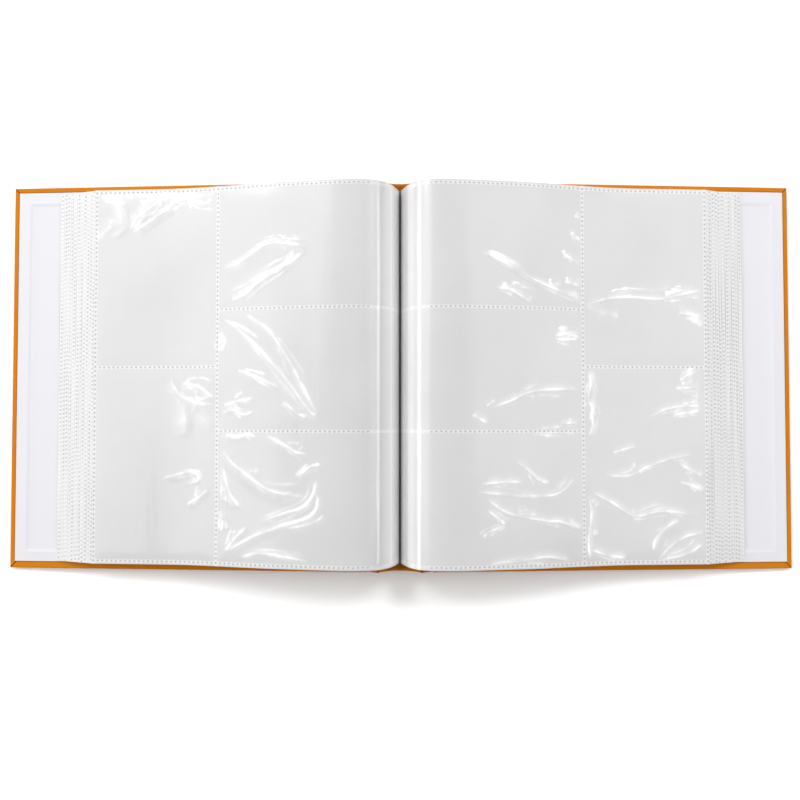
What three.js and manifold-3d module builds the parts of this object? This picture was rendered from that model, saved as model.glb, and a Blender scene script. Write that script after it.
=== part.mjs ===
// A slip-in photo album that lies open at its middle. A cloth case of two boards and a flexible
// spine holds 24 welded pocket leaves, 12 on each side, bound by their inner edges to the spine.
// Millimetres. X runs across the open album, Y along the spine towards the head, Z up.
// The origin is the middle of the album on the table.

import * as THREE from "three";
import { mergeVertices } from "three/addons/utils/BufferGeometryUtils.js";
import Module from "manifold-3d";

const { degToRad, lerp } = THREE.MathUtils;

// Prints that the pockets take, 4 by 6 inches
const PRINT_SHORT = 102;
const PRINT_LONG = 152.4;

// Pocket leaf, measured along the film from the binding edge and from the head
const BINDING_TAB = 19; // binding edge to the first pocket
const INNER_EASE = 3.6; // spare room along a print in the inner, landscape column
const OUTER_EASE = 8; // spare room across a print in the outer, portrait column
const FORE_MARGIN = 1.8; // welded rim past the outer pockets
const EDGE_WELD = 2.6; // head and tail edge to their weld lines
const LANDSCAPE_EASE = 2.2; // spare height of a landscape pocket
const PORTRAIT_EASE = 0.8; // spare height of the upper portrait pocket
const TAIL_ROOM = 8.2; // what the lowest landscape pocket is taller by
const LEAF_THICKNESS = 0.5; // two films, a paper core and the air between them
const POCKET_SWELL = 0.7; // how far an empty pocket's film stands up
const WELD_REACH = 5; // weld line to the full swell
const LEAVES_PER_SIDE = 12;

// How a pile of leaves lies on its open cover
const PILE_PITCH = 0.9; // leaf to leaf where they lie flat
const BINDING_STAGGER = 4.5; // how much further out the bottom leaf is bound than the top one
const TOP_CREST = new THREE.Vector2(19, 25.9); // top leaf's crest from the cover hinge
const BOTTOM_CREST = new THREE.Vector2(8, 5.4); // bottom leaf's crest from the cover hinge
const TOP_LANDING = 188; // hinge to where the top leaf lies flat, along the cover
const BOTTOM_LANDING = 46;
const TOP_LEAN = 72; // degrees, the way that the top leaf leaves the spine
const BOTTOM_LEAN = 94;
const GUTTER_HALF_GAP = 0.8; // middle of the gutter to the top leaf
const FOOT_SPREAD = 50; // degrees round the spine's hollow, gutter to bottom leaf

// Case
const COVER_SLOPE = 3.3; // degrees, the open covers fall outwards
const HINGE_HALF_SPAN = 21; // spine's middle to a cover's hinge line
const JOINT_WIDTH = 7.5; // hinge line to the board
const BOARD_THICKNESS = 2.5;
const CLOTH_THICKNESS = 0.45;
const PAPER_THICKNESS = 0.3;
const TURN_IN = 15; // cloth folded over the board's inner face
const CLOTH_BORDER = 4.7; // cloth left bare beside the endpaper at the head and the fore-edge
const TAIL_BORDER = 6.2; // the same at the tail
const BOARD_DROP = 1.3; // hinge line down to the board's inner face
const HEAD_SQUARE = 6.8; // cover past the leaves at the head and at the tail
const FORE_OVERHANG = 39.7; // cover past the leaves at the fore-edge
const MITRE_SLIT = 0.3;

// Spine
const SPINE_SAG = 10.3; // hinge line down to the underside of the spine
const STRIP_THICKNESS = 1.6;
const LINING_THICKNESS = 0.5;
const STRIP_SPREAD = 48; // degrees each way from the middle of the hollow
const CLOTH_END_GAP = 0.7; // hinge line to the spine's own cloth

// Clearances
const GLUE_LINE = 0.1; // between glued layers
const SEAT_GAP = 0.3; // a leaf over what it rests on
const FLAP_START = 0.35; // hinge line to a cover's joint flap

// Fineness of the solids
const RISE_PARTS = 12; // stations from a leaf's foot to its crest
const GLIDE_PARTS = 11; // stations from the crest to where it lies flat
const CLOSE_MARKS = 2.5; // stations nearer than this to a weld line are left out
const ROW_STEP = 60; // most between two rows of a pocketed leaf
const ARC_SEGMENTS = 24;

// Worked-out sizes
const LANDSCAPE_PITCH = PRINT_SHORT + LANDSCAPE_EASE;
const PORTRAIT_PITCH = PRINT_LONG + PORTRAIT_EASE;
const PAGE_HEIGHT = 2 * EDGE_WELD + 3 * LANDSCAPE_PITCH + TAIL_ROOM;
const COLUMN_SEAM = BINDING_TAB + PRINT_LONG + INNER_EASE;
const FORE_SEAM = COLUMN_SEAM + PRINT_SHORT + OUTER_EASE;
const LEAF_LENGTH = FORE_SEAM + FORE_MARGIN;
const COVER_HEIGHT = PAGE_HEIGHT + 2 * HEAD_SQUARE;
const COVER_REACH = LEAF_LENGTH + FORE_OVERHANG;
const SLOPE = degToRad(COVER_SLOPE);
const DOWN_COVER = new THREE.Vector2(Math.cos(SLOPE), -Math.sin(SLOPE));
const OFF_COVER = new THREE.Vector2(Math.sin(SLOPE), Math.cos(SLOPE));

// Levels of the cover's layers, measured from the hinge line square to the board
const BOARD_TOP = -BOARD_DROP;
const BOARD_BOTTOM = BOARD_TOP - BOARD_THICKNESS;
const UNDER_CLOTH_TOP = BOARD_BOTTOM - GLUE_LINE;
const COVER_BOTTOM = UNDER_CLOTH_TOP - CLOTH_THICKNESS;
const TURN_IN_BOTTOM = BOARD_TOP + GLUE_LINE;
const TURN_IN_TOP = TURN_IN_BOTTOM + CLOTH_THICKNESS;
const PAPER_TOP = TURN_IN_TOP + GLUE_LINE + PAPER_THICKNESS;

// The covers' outer edges stand on the table, which sets the height of the hinge lines
const HINGE = new THREE.Vector2(
  HINGE_HALF_SPAN,
  COVER_REACH * Math.sin(SLOPE) - COVER_BOTTOM * Math.cos(SLOPE),
);

// The spine hollows to an arc between the two hinge lines
const SPINE_HALF_CHORD = HINGE_HALF_SPAN - CLOTH_END_GAP;
const SPINE_RADIUS = (SPINE_HALF_CHORD ** 2 + SPINE_SAG ** 2) / (2 * SPINE_SAG);
const SPINE_SPREAD = Math.asin(SPINE_HALF_CHORD / SPINE_RADIUS);
const SPINE_CENTRE_Z = HINGE.y - SPINE_SAG + SPINE_RADIUS;
const STRIP_OUTER = SPINE_RADIUS - CLOTH_THICKNESS - GLUE_LINE;
const STRIP_INNER = STRIP_OUTER - STRIP_THICKNESS;
const HEM_OUTER = STRIP_INNER - GLUE_LINE;
const HEM_INNER = HEM_OUTER - CLOTH_THICKNESS;
const LINING_OUTER = HEM_INNER - GLUE_LINE;
const LINING_INNER = LINING_OUTER - LINING_THICKNESS;
const FOOT_RADIUS = LINING_INNER - SEAT_GAP;

// Where the leaves stand when the album is shut, which sets how they swing
const SHUT_TOP_GAP = 1.2; // middle of the shut block to the tip of the top leaf
const SHUT_BOTTOM_GAP = 0.9; // endpaper to the tip of the bottom leaf
const SHUT_SLACK = 2; // length that a leaf's bend by the spine takes up
const EXTRA_TURN = 4.2; // degrees that the top leaf turns past its cover

const wasm = await Module();
wasm.setup();

// A closed geometry as a solid that can be joined and cut
function solidOf(geometry) {
  geometry.deleteAttribute("normal");
  geometry.deleteAttribute("uv");
  const merged = mergeVertices(geometry, 1e-4);
  return new wasm.Manifold(
    new wasm.Mesh({
      numProp: 3,
      vertProperties: merged.attributes.position.array,
      triVerts: new Uint32Array(merged.index.array),
    }),
  );
}

function geometryOf(solid) {
  const mesh = solid.getMesh();
  const geometry = new THREE.BufferGeometry();
  geometry.setAttribute("position", new THREE.BufferAttribute(mesh.vertProperties, 3));
  geometry.setIndex(new THREE.BufferAttribute(mesh.triVerts, 1));
  geometry.computeVertexNormals();
  return geometry;
}

function box(x0, x1, y0, y1, z0, z1) {
  const geometry = new THREE.BoxGeometry(x1 - x0, y1 - y0, z1 - z0);
  return geometry.translate((x0 + x1) / 2, (y0 + y1) / 2, (z0 + z1) / 2);
}

// A shape drawn in X and Z, carried along Y from one height of the page to another
function alongSpine(shape, yLow, yHigh) {
  const geometry = new THREE.ExtrudeGeometry(shape, {
    depth: yHigh - yLow,
    bevelEnabled: false,
    curveSegments: ARC_SEGMENTS,
  });
  return geometry.rotateX(Math.PI / 2).translate(0, yHigh, 0);
}

function polygon(points) {
  return new THREE.Shape(points.map(([x, z]) => new THREE.Vector2(x, z)));
}

// A slice of the spine's hollow between two radii
function hollowSlice(outer, inner, spread) {
  const shape = new THREE.Shape();
  const low = -Math.PI / 2;
  shape.absarc(0, SPINE_CENTRE_Z, outer, low - spread, low + spread, false);
  shape.absarc(0, SPINE_CENTRE_Z, inner, low + spread, low - spread, true);
  shape.closePath();
  return shape;
}

const MATERIALS = {
  cloth: new THREE.MeshStandardMaterial({ color: 0xd6822a, roughness: 0.75, metalness: 0 }),
  board: new THREE.MeshStandardMaterial({ color: 0x8f8a80, roughness: 0.9, metalness: 0 }),
  paper: new THREE.MeshStandardMaterial({ color: 0xf0f1f5, roughness: 0.7, metalness: 0 }),
  lining: new THREE.MeshStandardMaterial({ color: 0xc9c4b4, roughness: 0.9, metalness: 0 }),
  film: new THREE.MeshStandardMaterial({ color: 0xe8e8ea, roughness: 0.25, metalness: 0 }),
};

function piece(name, geometry, material) {
  const mesh = new THREE.Mesh(geometry, material);
  mesh.name = name;
  return mesh;
}

// The spine: a flexible strip in cloth that is hemmed over its two ends, and the leaves' lining
function makeSpine() {
  const spine = new THREE.Group();
  const half = COVER_HEIGHT / 2;
  const stripSpread = degToRad(STRIP_SPREAD);
  const hemInner = half - TURN_IN;
  const endWall = half - CLOTH_THICKNESS;
  let cloth = solidOf(
    alongSpine(
      hollowSlice(SPINE_RADIUS, SPINE_RADIUS - CLOTH_THICKNESS, SPINE_SPREAD),
      -half,
      half,
    ),
  );
  for (const end of [-1, 1]) {
    const wallSpan = [end * endWall, end * half].sort((a, b) => a - b);
    const hemSpan = [end * hemInner, end * half].sort((a, b) => a - b);
    const wall = alongSpine(hollowSlice(SPINE_RADIUS, HEM_INNER, stripSpread), ...wallSpan);
    const hem = alongSpine(hollowSlice(HEM_OUTER, HEM_INNER, stripSpread), ...hemSpan);
    cloth = cloth.add(solidOf(wall)).add(solidOf(hem));
  }
  const stripEnd = endWall - GLUE_LINE;
  const strip = alongSpine(
    hollowSlice(STRIP_OUTER, STRIP_INNER, stripSpread),
    -stripEnd,
    stripEnd,
  );
  const liningEnd = PAGE_HEIGHT / 2;
  const lining = alongSpine(
    hollowSlice(LINING_OUTER, LINING_INNER, stripSpread),
    -liningEnd,
    liningEnd,
  );
  spine.add(
    piece("spine_cloth", geometryOf(cloth), MATERIALS.cloth),
    piece("spine_strip", strip, MATERIALS.board),
    piece("back_lining", lining, MATERIALS.lining),
  );
  return spine;
}

// The cover's cloth: a sheet under the board, folded up round three edges and over onto the
// inner face, with mitred corners, and a flap across the joint
function makeCoverCloth() {
  const half = COVER_HEIGHT / 2;
  const window = half - TURN_IN;
  const wall = half - CLOTH_THICKNESS;
  const flapFoot = JOINT_WIDTH - CLOTH_THICKNESS;
  const shell = solidOf(
    box(JOINT_WIDTH, COVER_REACH, -half, half, COVER_BOTTOM, TURN_IN_TOP),
  );
  const room = solidOf(
    box(0, COVER_REACH - CLOTH_THICKNESS, -wall, wall, UNDER_CLOTH_TOP, TURN_IN_BOTTOM),
  );
  const opening = solidOf(
    box(0, COVER_REACH - TURN_IN, -window, window, TURN_IN_BOTTOM - GLUE_LINE, TURN_IN_TOP + 1),
  );
  const flap = alongSpine(
    polygon([
      [FLAP_START, -GLUE_LINE / 2 - CLOTH_THICKNESS],
      [flapFoot - CLOTH_THICKNESS, COVER_BOTTOM],
      [JOINT_WIDTH + CLOTH_THICKNESS, COVER_BOTTOM],
      [JOINT_WIDTH + CLOTH_THICKNESS, UNDER_CLOTH_TOP],
      [flapFoot, UNDER_CLOTH_TOP],
      [FLAP_START, -GLUE_LINE / 2],
    ]),
    -half,
    half,
  );
  let cloth = shell.subtract(room).subtract(opening).add(solidOf(flap));
  const slitLength = (TURN_IN - 3 * CLOTH_THICKNESS) * Math.SQRT2;
  for (const end of [-1, 1]) {
    const slit = new THREE.BoxGeometry(slitLength, MITRE_SLIT, 2 * CLOTH_THICKNESS);
    slit.translate(slitLength / 2, 0, 0).rotateZ((end * Math.PI) / 4);
    slit.translate(COVER_REACH - TURN_IN, end * window, TURN_IN_TOP);
    cloth = cloth.subtract(solidOf(slit));
  }
  return geometryOf(cloth);
}

// The endpaper: it crosses the joint, lies on the board and steps up over the cloth's turn-ins
function makeEndpaper() {
  const half = COVER_HEIGHT / 2;
  const head = half - CLOTH_BORDER;
  const tail = half - TAIL_BORDER;
  const reach = COVER_REACH - CLOTH_BORDER;
  const raised = TURN_IN_TOP + GLUE_LINE;
  const lowTop = TURN_IN_BOTTOM + PAPER_THICKNESS;
  const step = TURN_IN + GLUE_LINE;
  const start = JOINT_WIDTH;
  const rim = solidOf(box(start, reach, -tail, head, raised, PAPER_TOP));
  const field = solidOf(
    box(start, COVER_REACH - step, -(half - step), half - step, TURN_IN_BOTTOM, PAPER_TOP),
  );
  const inset = step + PAPER_THICKNESS;
  const dip = solidOf(
    box(0, COVER_REACH - inset, -(half - inset), half - inset, lowTop, PAPER_TOP + 1),
  );
  const flap = alongSpine(
    polygon([
      [FLAP_START, GLUE_LINE / 2],
      [start, TURN_IN_BOTTOM],
      [start + 1, TURN_IN_BOTTOM],
      [start + 1, lowTop],
      [start, lowTop],
      [FLAP_START, GLUE_LINE / 2 + PAPER_THICKNESS],
    ]),
    -(half - inset - GLUE_LINE),
    half - inset - GLUE_LINE,
  );
  return geometryOf(rim.add(field).subtract(dip).add(solidOf(flap)));
}

function makeBoard() {
  const half = COVER_HEIGHT / 2 - CLOTH_THICKNESS - GLUE_LINE;
  const reach = COVER_REACH - CLOTH_THICKNESS - GLUE_LINE;
  return box(JOINT_WIDTH, reach, -half, half, BOARD_BOTTOM, BOARD_TOP);
}

// One cover, drawn flat from its hinge line, then set down at the slope of the open album
function makeCover(side) {
  const cover = new THREE.Group();
  cover.add(
    piece(side + "_cover_cloth", makeCoverCloth(), MATERIALS.cloth),
    piece(side + "_board", makeBoard(), MATERIALS.board),
    piece(side + "_endpaper", makeEndpaper(), MATERIALS.paper),
  );
  cover.position.set(HINGE.x, 0, HINGE.y);
  cover.rotation.y = SLOPE;
  return cover;
}

// A point over the open cover: along it from the hinge line, and square off it
function overCover(along, off) {
  return HINGE.clone().addScaledVector(DOWN_COVER, along).addScaledVector(OFF_COVER, off);
}

// Height of a leaf's middle over the hinge line's level where the pile lies flat
function pileLevel(level) {
  const bottom = PAPER_TOP + SEAT_GAP + LEAF_THICKNESS / 2;
  return bottom + level * PILE_PITCH * (LEAVES_PER_SIDE - 1);
}

// A leaf's line in X and Z, from its foot at the spine, over its crest and down onto the pile.
// Level 0 is the bottom leaf and 1 is the top one.
function leafLine(level) {
  const gutterAngle = Math.asin(GUTTER_HALF_GAP / FOOT_RADIUS);
  const footAngle = lerp(degToRad(FOOT_SPREAD), gutterAngle, level);
  const foot = new THREE.Vector2(
    FOOT_RADIUS * Math.sin(footAngle),
    SPINE_CENTRE_Z - FOOT_RADIUS * Math.cos(footAngle),
  );
  const lean = degToRad(lerp(BOTTOM_LEAN, TOP_LEAN, level));
  const crest = BOTTOM_CREST.clone().lerp(TOP_CREST, level).add(HINGE);
  const rise = crest.distanceTo(foot) / 2;
  const rising = new THREE.Vector2(Math.cos(lean), Math.sin(lean));
  const landing = overCover(lerp(BOTTOM_LANDING, TOP_LANDING, level), pileLevel(level));
  const glide = (landing.x - crest.x) * 0.37;
  const line = new THREE.CurvePath();
  line.add(
    new THREE.CubicBezierCurve(
      foot,
      foot.clone().addScaledVector(rising, rise),
      new THREE.Vector2(crest.x - rise, crest.y),
      crest,
    ),
  );
  line.add(
    new THREE.CubicBezierCurve(
      crest,
      new THREE.Vector2(crest.x + glide, crest.y),
      landing.clone().addScaledVector(DOWN_COVER, -glide),
      landing,
    ),
  );
  line.add(
    new THREE.LineCurve(landing, landing.clone().addScaledVector(DOWN_COVER, COVER_REACH)),
  );
  return line;
}

// Where a leaf ends along its line. The lower leaves are bound further out.
function leafEnd(level) {
  return LEAF_LENGTH + BINDING_STAGGER * (1 - level);
}

// Position and upward normal on a leaf's line at a distance from the binding edge
function stationOn(line, distance) {
  const share = distance / line.getLength();
  const tangent = line.getTangent(share);
  return { at: line.getPoint(share), up: new THREE.Vector2(-tangent.y, tangent.x) };
}

// Distances along a leaf from one mark to another, in equal parts
function evenly(from, to, parts) {
  return Array.from({ length: parts + 1 }, (_, part) => lerp(from, to, part / parts));
}

// Marks between two ends, in order, with the ends themselves
function between(low, high, marks) {
  const inside = marks.filter((mark) => mark > low + 1 && mark < high - 1);
  return [low, ...inside.sort((a, b) => a - b), high];
}

// Where a sheet has stations: closely over its crest, and beside its weld lines if it has pockets
function stationMarks(line, from, to, pocketed) {
  const [rise, glide] = line.curves.map((curve) => curve.getLength());
  const bends = [
    ...evenly(0, rise, RISE_PARTS),
    ...evenly(rise, rise + glide, GLIDE_PARTS).slice(1),
  ];
  if (!pocketed) return between(from, to, bends);
  const welds = besideWelds([BINDING_TAB, COLUMN_SEAM, FORE_SEAM]);
  const clear = bends.filter((bend) => welds.every((weld) => Math.abs(weld - bend) > CLOSE_MARKS));
  return between(from, to, [...clear, ...welds]);
}

function besideWelds(welds) {
  return welds.flatMap((weld) => [weld - WELD_REACH, weld, weld + WELD_REACH]);
}

// Where a pocketed sheet has rows, head to tail
function rowMarks() {
  const welds = new Set([...crossSeams(0), ...crossSeams(FORE_SEAM)]);
  const marks = between(0, PAGE_HEIGHT, besideWelds([...welds]));
  return marks.flatMap((mark, index) => {
    if (index === 0) return [mark];
    const before = marks[index - 1];
    return evenly(before, mark, Math.ceil((mark - before) / ROW_STEP)).slice(1);
  });
}

// Weld lines across a leaf, head to tail, in its inner and outer columns of pockets
function crossSeams(distance) {
  const first = EDGE_WELD;
  const last = PAGE_HEIGHT - EDGE_WELD;
  if (distance > COLUMN_SEAM) return [first, first + PORTRAIT_PITCH, last];
  return [first, first + LANDSCAPE_PITCH, first + 2 * LANDSCAPE_PITCH, last];
}

// How far the film stands up in a pocket, nothing on a weld line and on the binding tab
function swell(distance, row) {
  const lengthwise = [BINDING_TAB, COLUMN_SEAM, FORE_SEAM].map((s) => Math.abs(distance - s));
  const crosswise = crossSeams(distance).map((r) => Math.abs(row - r));
  const outside = distance < BINDING_TAB || distance > FORE_SEAM;
  const beyond = row < EDGE_WELD || row > PAGE_HEIGHT - EDGE_WELD;
  if (outside || beyond) return 0;
  const near = Math.min(...lengthwise, ...crosswise);
  return POCKET_SWELL * Math.min(1, near / WELD_REACH);
}

// A sheet of even thickness along a leaf's line, closed all round, its rows running head to tail
function makeSheet(line, from, to, pocketed) {
  const stations = stationMarks(line, from, to, pocketed);
  const rows = pocketed ? rowMarks() : [0, PAGE_HEIGHT];
  const upper = [];
  const lower = [];
  for (const distance of stations) {
    const { at, up } = stationOn(line, distance);
    for (const row of rows) {
      const lift = LEAF_THICKNESS / 2 + (pocketed ? swell(distance, row) : 0);
      const y = PAGE_HEIGHT / 2 - row;
      upper.push(at.x + up.x * lift, y, at.y + up.y * lift);
      lower.push(
        at.x - (up.x * LEAF_THICKNESS) / 2,
        y,
        at.y - (up.y * LEAF_THICKNESS) / 2,
      );
    }
  }
  const across = rows.length;
  const count = stations.length * across;
  const faces = [];
  const quad = (a, b, c, d) => faces.push(a, b, c, a, c, d);
  for (let i = 0; i + 1 < stations.length; i += 1) {
    for (let j = 0; j + 1 < across; j += 1) {
      const a = i * across + j;
      const corners = [a, a + 1, a + across + 1, a + across];
      quad(...corners);
      quad(...corners.reverse().map((corner) => corner + count));
    }
  }
  const wall = (p, q) => quad(q, p, p + count, q + count);
  const lastStation = (stations.length - 1) * across;
  for (let j = 0; j + 1 < across; j += 1) {
    wall(j, j + 1);
    wall(lastStation + j + 1, lastStation + j);
  }
  for (let i = 0; i + 1 < stations.length; i += 1) {
    wall(i * across + across - 1, (i + 1) * across + across - 1);
    wall((i + 1) * across, i * across);
  }
  const geometry = new THREE.BufferGeometry();
  geometry.setAttribute(
    "position",
    new THREE.Float32BufferAttribute([...upper, ...lower], 3),
  );
  geometry.setIndex(faces);
  geometry.computeVertexNormals();
  return geometry;
}

// How a leaf swings as the album shuts: the turn, and the point in X and Z that stays put.
// The tip goes from its open place to its place in the shut block.
function shutting(line, level) {
  const turn = Math.PI / 2 + SLOPE + degToRad(EXTRA_TURN) * level;
  const end = leafEnd(level);
  const open = stationOn(line, end).at;
  const foot = stationOn(line, 0).at;
  const outermost = HINGE.x - PAPER_TOP - SHUT_BOTTOM_GAP;
  const shut = new THREE.Vector2(
    lerp(outermost, SHUT_TOP_GAP, level),
    foot.y + end - SHUT_SLACK,
  );
  const move = shut.sub(open.clone().rotateAround(new THREE.Vector2(), turn));
  const spin = 1 / Math.tan(turn / 2);
  return {
    degrees: THREE.MathUtils.radToDeg(turn),
    pivot: [(move.x - spin * move.y) / 2, (move.y + spin * move.x) / 2],
  };
}

// The pile of leaves on one side. The left side's top leaf is in two stretches, because it
// is the leaf that is turned by itself: one holds to the gutter, and one swings at the crest.
function makeLeaves(side) {
  const pile = new THREE.Group();
  for (let number = 1; number <= LEAVES_PER_SIDE; number += 1) {
    const level = (number - 1) / (LEAVES_PER_SIDE - 1);
    const line = leafLine(level);
    const top = number === LEAVES_PER_SIDE;
    const name = side + "_leaf_" + String(number).padStart(2, "0");
    const crestPoint = line.curves[0].v3.toArray();
    const swing = { shutting: shutting(line, level), crestPoint };
    if (top && side === "left") {
      const crest = line.curves[0].getLength();
      const fold = crest + SEAT_GAP;
      const gutter = makeSheet(line, 0, crest, true);
      pile.add(piece(name + "_gutter", gutter, MATERIALS.film));
      pile.add(piece(name, makeSheet(line, fold, LEAF_LENGTH, true), MATERIALS.film));
    } else {
      pile.add(piece(name, makeSheet(line, 0, leafEnd(level), top), MATERIALS.film));
    }
    pile.children.forEach((leaf) => (leaf.userData.swing ??= swing));
  }
  return pile;
}

const album = new THREE.Group();
album.add(makeSpine());
for (const side of ["right", "left"]) {
  const half = new THREE.Group();
  half.add(makeCover(side), makeLeaves(side));
  half.scale.x = side === "left" ? -1 : 1;
  album.add(half);
}
album.userData = {
  hinge: HINGE.toArray(),
  slopeDegrees: COVER_SLOPE,
  coverReach: COVER_REACH,
  coverBottom: COVER_BOTTOM,
};

export default album;
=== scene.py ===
"""A slip-in photo album lying open at its middle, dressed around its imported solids.

The case, the leaves and the studio are classes of their own. Sizes are in metres, in the
solids' own frame: X across the open album, Y along the spine to the head, Z up.
"""

import logging
import math
from dataclasses import dataclass
from enum import Enum
from typing import Iterable, Sequence

import bpy
import numpy as np
from mathutils import Matrix, Vector


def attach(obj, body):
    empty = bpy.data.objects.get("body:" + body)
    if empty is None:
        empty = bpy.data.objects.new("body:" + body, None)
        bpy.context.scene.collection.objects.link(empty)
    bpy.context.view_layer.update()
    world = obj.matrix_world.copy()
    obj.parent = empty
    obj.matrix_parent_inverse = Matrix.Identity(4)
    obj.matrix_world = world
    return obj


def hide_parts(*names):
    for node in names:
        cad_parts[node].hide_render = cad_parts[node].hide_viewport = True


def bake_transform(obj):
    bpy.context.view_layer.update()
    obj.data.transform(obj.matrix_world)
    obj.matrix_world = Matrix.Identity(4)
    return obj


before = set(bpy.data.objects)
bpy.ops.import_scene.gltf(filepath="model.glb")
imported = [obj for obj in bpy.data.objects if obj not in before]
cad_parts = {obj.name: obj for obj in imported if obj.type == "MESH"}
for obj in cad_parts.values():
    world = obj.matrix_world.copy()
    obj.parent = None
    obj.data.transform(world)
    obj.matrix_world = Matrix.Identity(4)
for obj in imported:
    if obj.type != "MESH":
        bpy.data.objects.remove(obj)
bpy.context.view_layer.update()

logging.basicConfig(level=logging.INFO, format="%(message)s")
log = logging.getLogger("album")

MM = 0.001
# UV layer of the top film: crease height in millimetres, and each crease's painted highlight
RELIEF = "Relief"


class Side(Enum):
    """The two halves of the open album."""

    LEFT = -1
    RIGHT = 1

    @property
    def word(self) -> str:
        """The side's name as the solids use it."""
        return self.name.lower()


class Fold(Enum):
    """How a crease in the film stands up."""

    SHARP = "sharp"
    SOFT = "soft"


@dataclass(frozen=True)
class AlbumSizes:
    """Real sizes of the album. The first block is measured, the properties follow from it."""

    print_short: float = 102 * MM
    print_long: float = 152.4 * MM
    binding_tab: float = 19 * MM
    inner_ease: float = 3.6 * MM
    outer_ease: float = 8 * MM
    fore_margin: float = 1.8 * MM
    edge_weld: float = 2.6 * MM
    landscape_ease: float = 2.2 * MM
    portrait_ease: float = 0.8 * MM
    tail_room: float = 8.2 * MM
    leaf_thickness: float = 0.5 * MM
    pocket_swell: float = 0.7 * MM
    leaves: int = 12
    pile_pitch: float = 0.9 * MM
    binding_stagger: float = 4.5 * MM
    top_crest: tuple[float, float] = (19 * MM, 25.9 * MM)
    bottom_crest: tuple[float, float] = (8 * MM, 5.4 * MM)
    top_landing: float = 188 * MM
    bottom_landing: float = 46 * MM
    top_lean: float = math.radians(72)
    bottom_lean: float = math.radians(94)
    gutter_half_gap: float = 0.8 * MM
    foot_spread: float = math.radians(50)
    cover_slope: float = math.radians(3.3)
    hinge_half_span: float = 21 * MM
    joint_width: float = 7.5 * MM
    board: float = 2.5 * MM
    cloth: float = 0.45 * MM
    paper: float = 0.3 * MM
    turn_in: float = 15 * MM
    cloth_border: float = 4.7 * MM
    tail_border: float = 6.2 * MM
    board_drop: float = 1.3 * MM
    head_square: float = 6.8 * MM
    fore_overhang: float = 39.7 * MM
    spine_sag: float = 10.3 * MM
    strip: float = 1.6 * MM
    lining: float = 0.5 * MM
    cloth_end_gap: float = 0.7 * MM
    glue: float = 0.1 * MM
    seat: float = 0.3 * MM

    @property
    def page_height(self) -> float:
        """Head to tail of a leaf."""
        rows = 3 * (self.print_short + self.landscape_ease)
        return 2 * self.edge_weld + rows + self.tail_room

    @property
    def column_seam(self) -> float:
        """Binding edge to the weld between the two columns of pockets."""
        return self.binding_tab + self.print_long + self.inner_ease

    @property
    def fore_seam(self) -> float:
        """Binding edge to the weld at the fore-edge."""
        return self.column_seam + self.print_short + self.outer_ease

    @property
    def leaf_length(self) -> float:
        """Binding edge to fore-edge, along the film."""
        return self.fore_seam + self.fore_margin

    def slip(self, level: float) -> float:
        """How much further out a leaf is bound than the top one, level 0 being the bottom leaf."""
        return self.binding_stagger * (1 - level)

    @property
    def half_height(self) -> float:
        """Middle of the cover to its head."""
        return self.page_height / 2 + self.head_square

    @property
    def reach(self) -> float:
        """Hinge line to a cover's fore-edge."""
        return self.leaf_length + self.fore_overhang

    @property
    def cover_bottom(self) -> float:
        """Underside of a cover, square off the board from the hinge line."""
        return -self.board_drop - self.board - self.glue - self.cloth

    @property
    def turn_in_top(self) -> float:
        """Upper face of the cloth that is folded over the board."""
        return -self.board_drop + self.glue + self.cloth

    @property
    def paper_top(self) -> float:
        """Upper face of the endpaper over the turned-in cloth."""
        return self.turn_in_top + self.glue + self.paper

    @property
    def hinge(self) -> np.ndarray:
        """Place of the right cover's hinge line in X and Z."""
        drop = self.reach * math.sin(self.cover_slope)
        return np.array(
            [self.hinge_half_span, drop - self.cover_bottom * math.cos(self.cover_slope)]
        )

    @property
    def down_cover(self) -> np.ndarray:
        """Direction in X and Z from the right cover's hinge line to its fore-edge."""
        return np.array([math.cos(self.cover_slope), -math.sin(self.cover_slope)])

    @property
    def off_cover(self) -> np.ndarray:
        """Direction in X and Z square off the right cover."""
        return np.array([math.sin(self.cover_slope), math.cos(self.cover_slope)])

    def on_cover(self, along: np.ndarray, across: np.ndarray, off: np.ndarray) -> np.ndarray:
        """Places points on the right cover.

        Args:
            along: Distances from the hinge line to the fore-edge.
            across: Distances along the spine, from its middle to the head.
            off: Distances square off the cover, from the hinge line.

        Returns:
            The points, with X, Y and Z in the last axis.
        """
        along, across, off = np.broadcast_arrays(along, across, off)
        flat = self.hinge + along[..., None] * self.down_cover + off[..., None] * self.off_cover
        return np.stack([flat[..., 0], across, flat[..., 1]], axis=-1)

    @property
    def spine_radius(self) -> float:
        """Radius of the outside of the hollow spine."""
        chord = self.hinge_half_span - self.cloth_end_gap
        return (chord**2 + self.spine_sag**2) / (2 * self.spine_sag)

    @property
    def spine_spread(self) -> float:
        """Half the angle that the spine's cloth spans."""
        return math.asin((self.hinge_half_span - self.cloth_end_gap) / self.spine_radius)

    @property
    def spine_centre(self) -> float:
        """Height of the middle of the spine's arc."""
        return float(self.hinge[1]) - self.spine_sag + self.spine_radius

    @property
    def hem_outer(self) -> float:
        """Radius of the outer face of the cloth hemmed over the spine's ends."""
        return self.spine_radius - self.cloth - self.strip - 2 * self.glue

    @property
    def foot_radius(self) -> float:
        """Radius on which the leaves' binding edges stand."""
        inner = self.hem_outer - self.cloth - self.glue - self.lining
        return inner - self.seat


SIZES = AlbumSizes()


@dataclass(frozen=True)
class Finish:
    """A plain finish: linear colour, roughness, how strongly it mirrors, and its clear coat."""

    name: str
    colour: tuple[float, float, float]
    roughness: float
    mirror: float = 0.5
    coat: float = 0.0
    coat_roughness: float = 0.1


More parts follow.
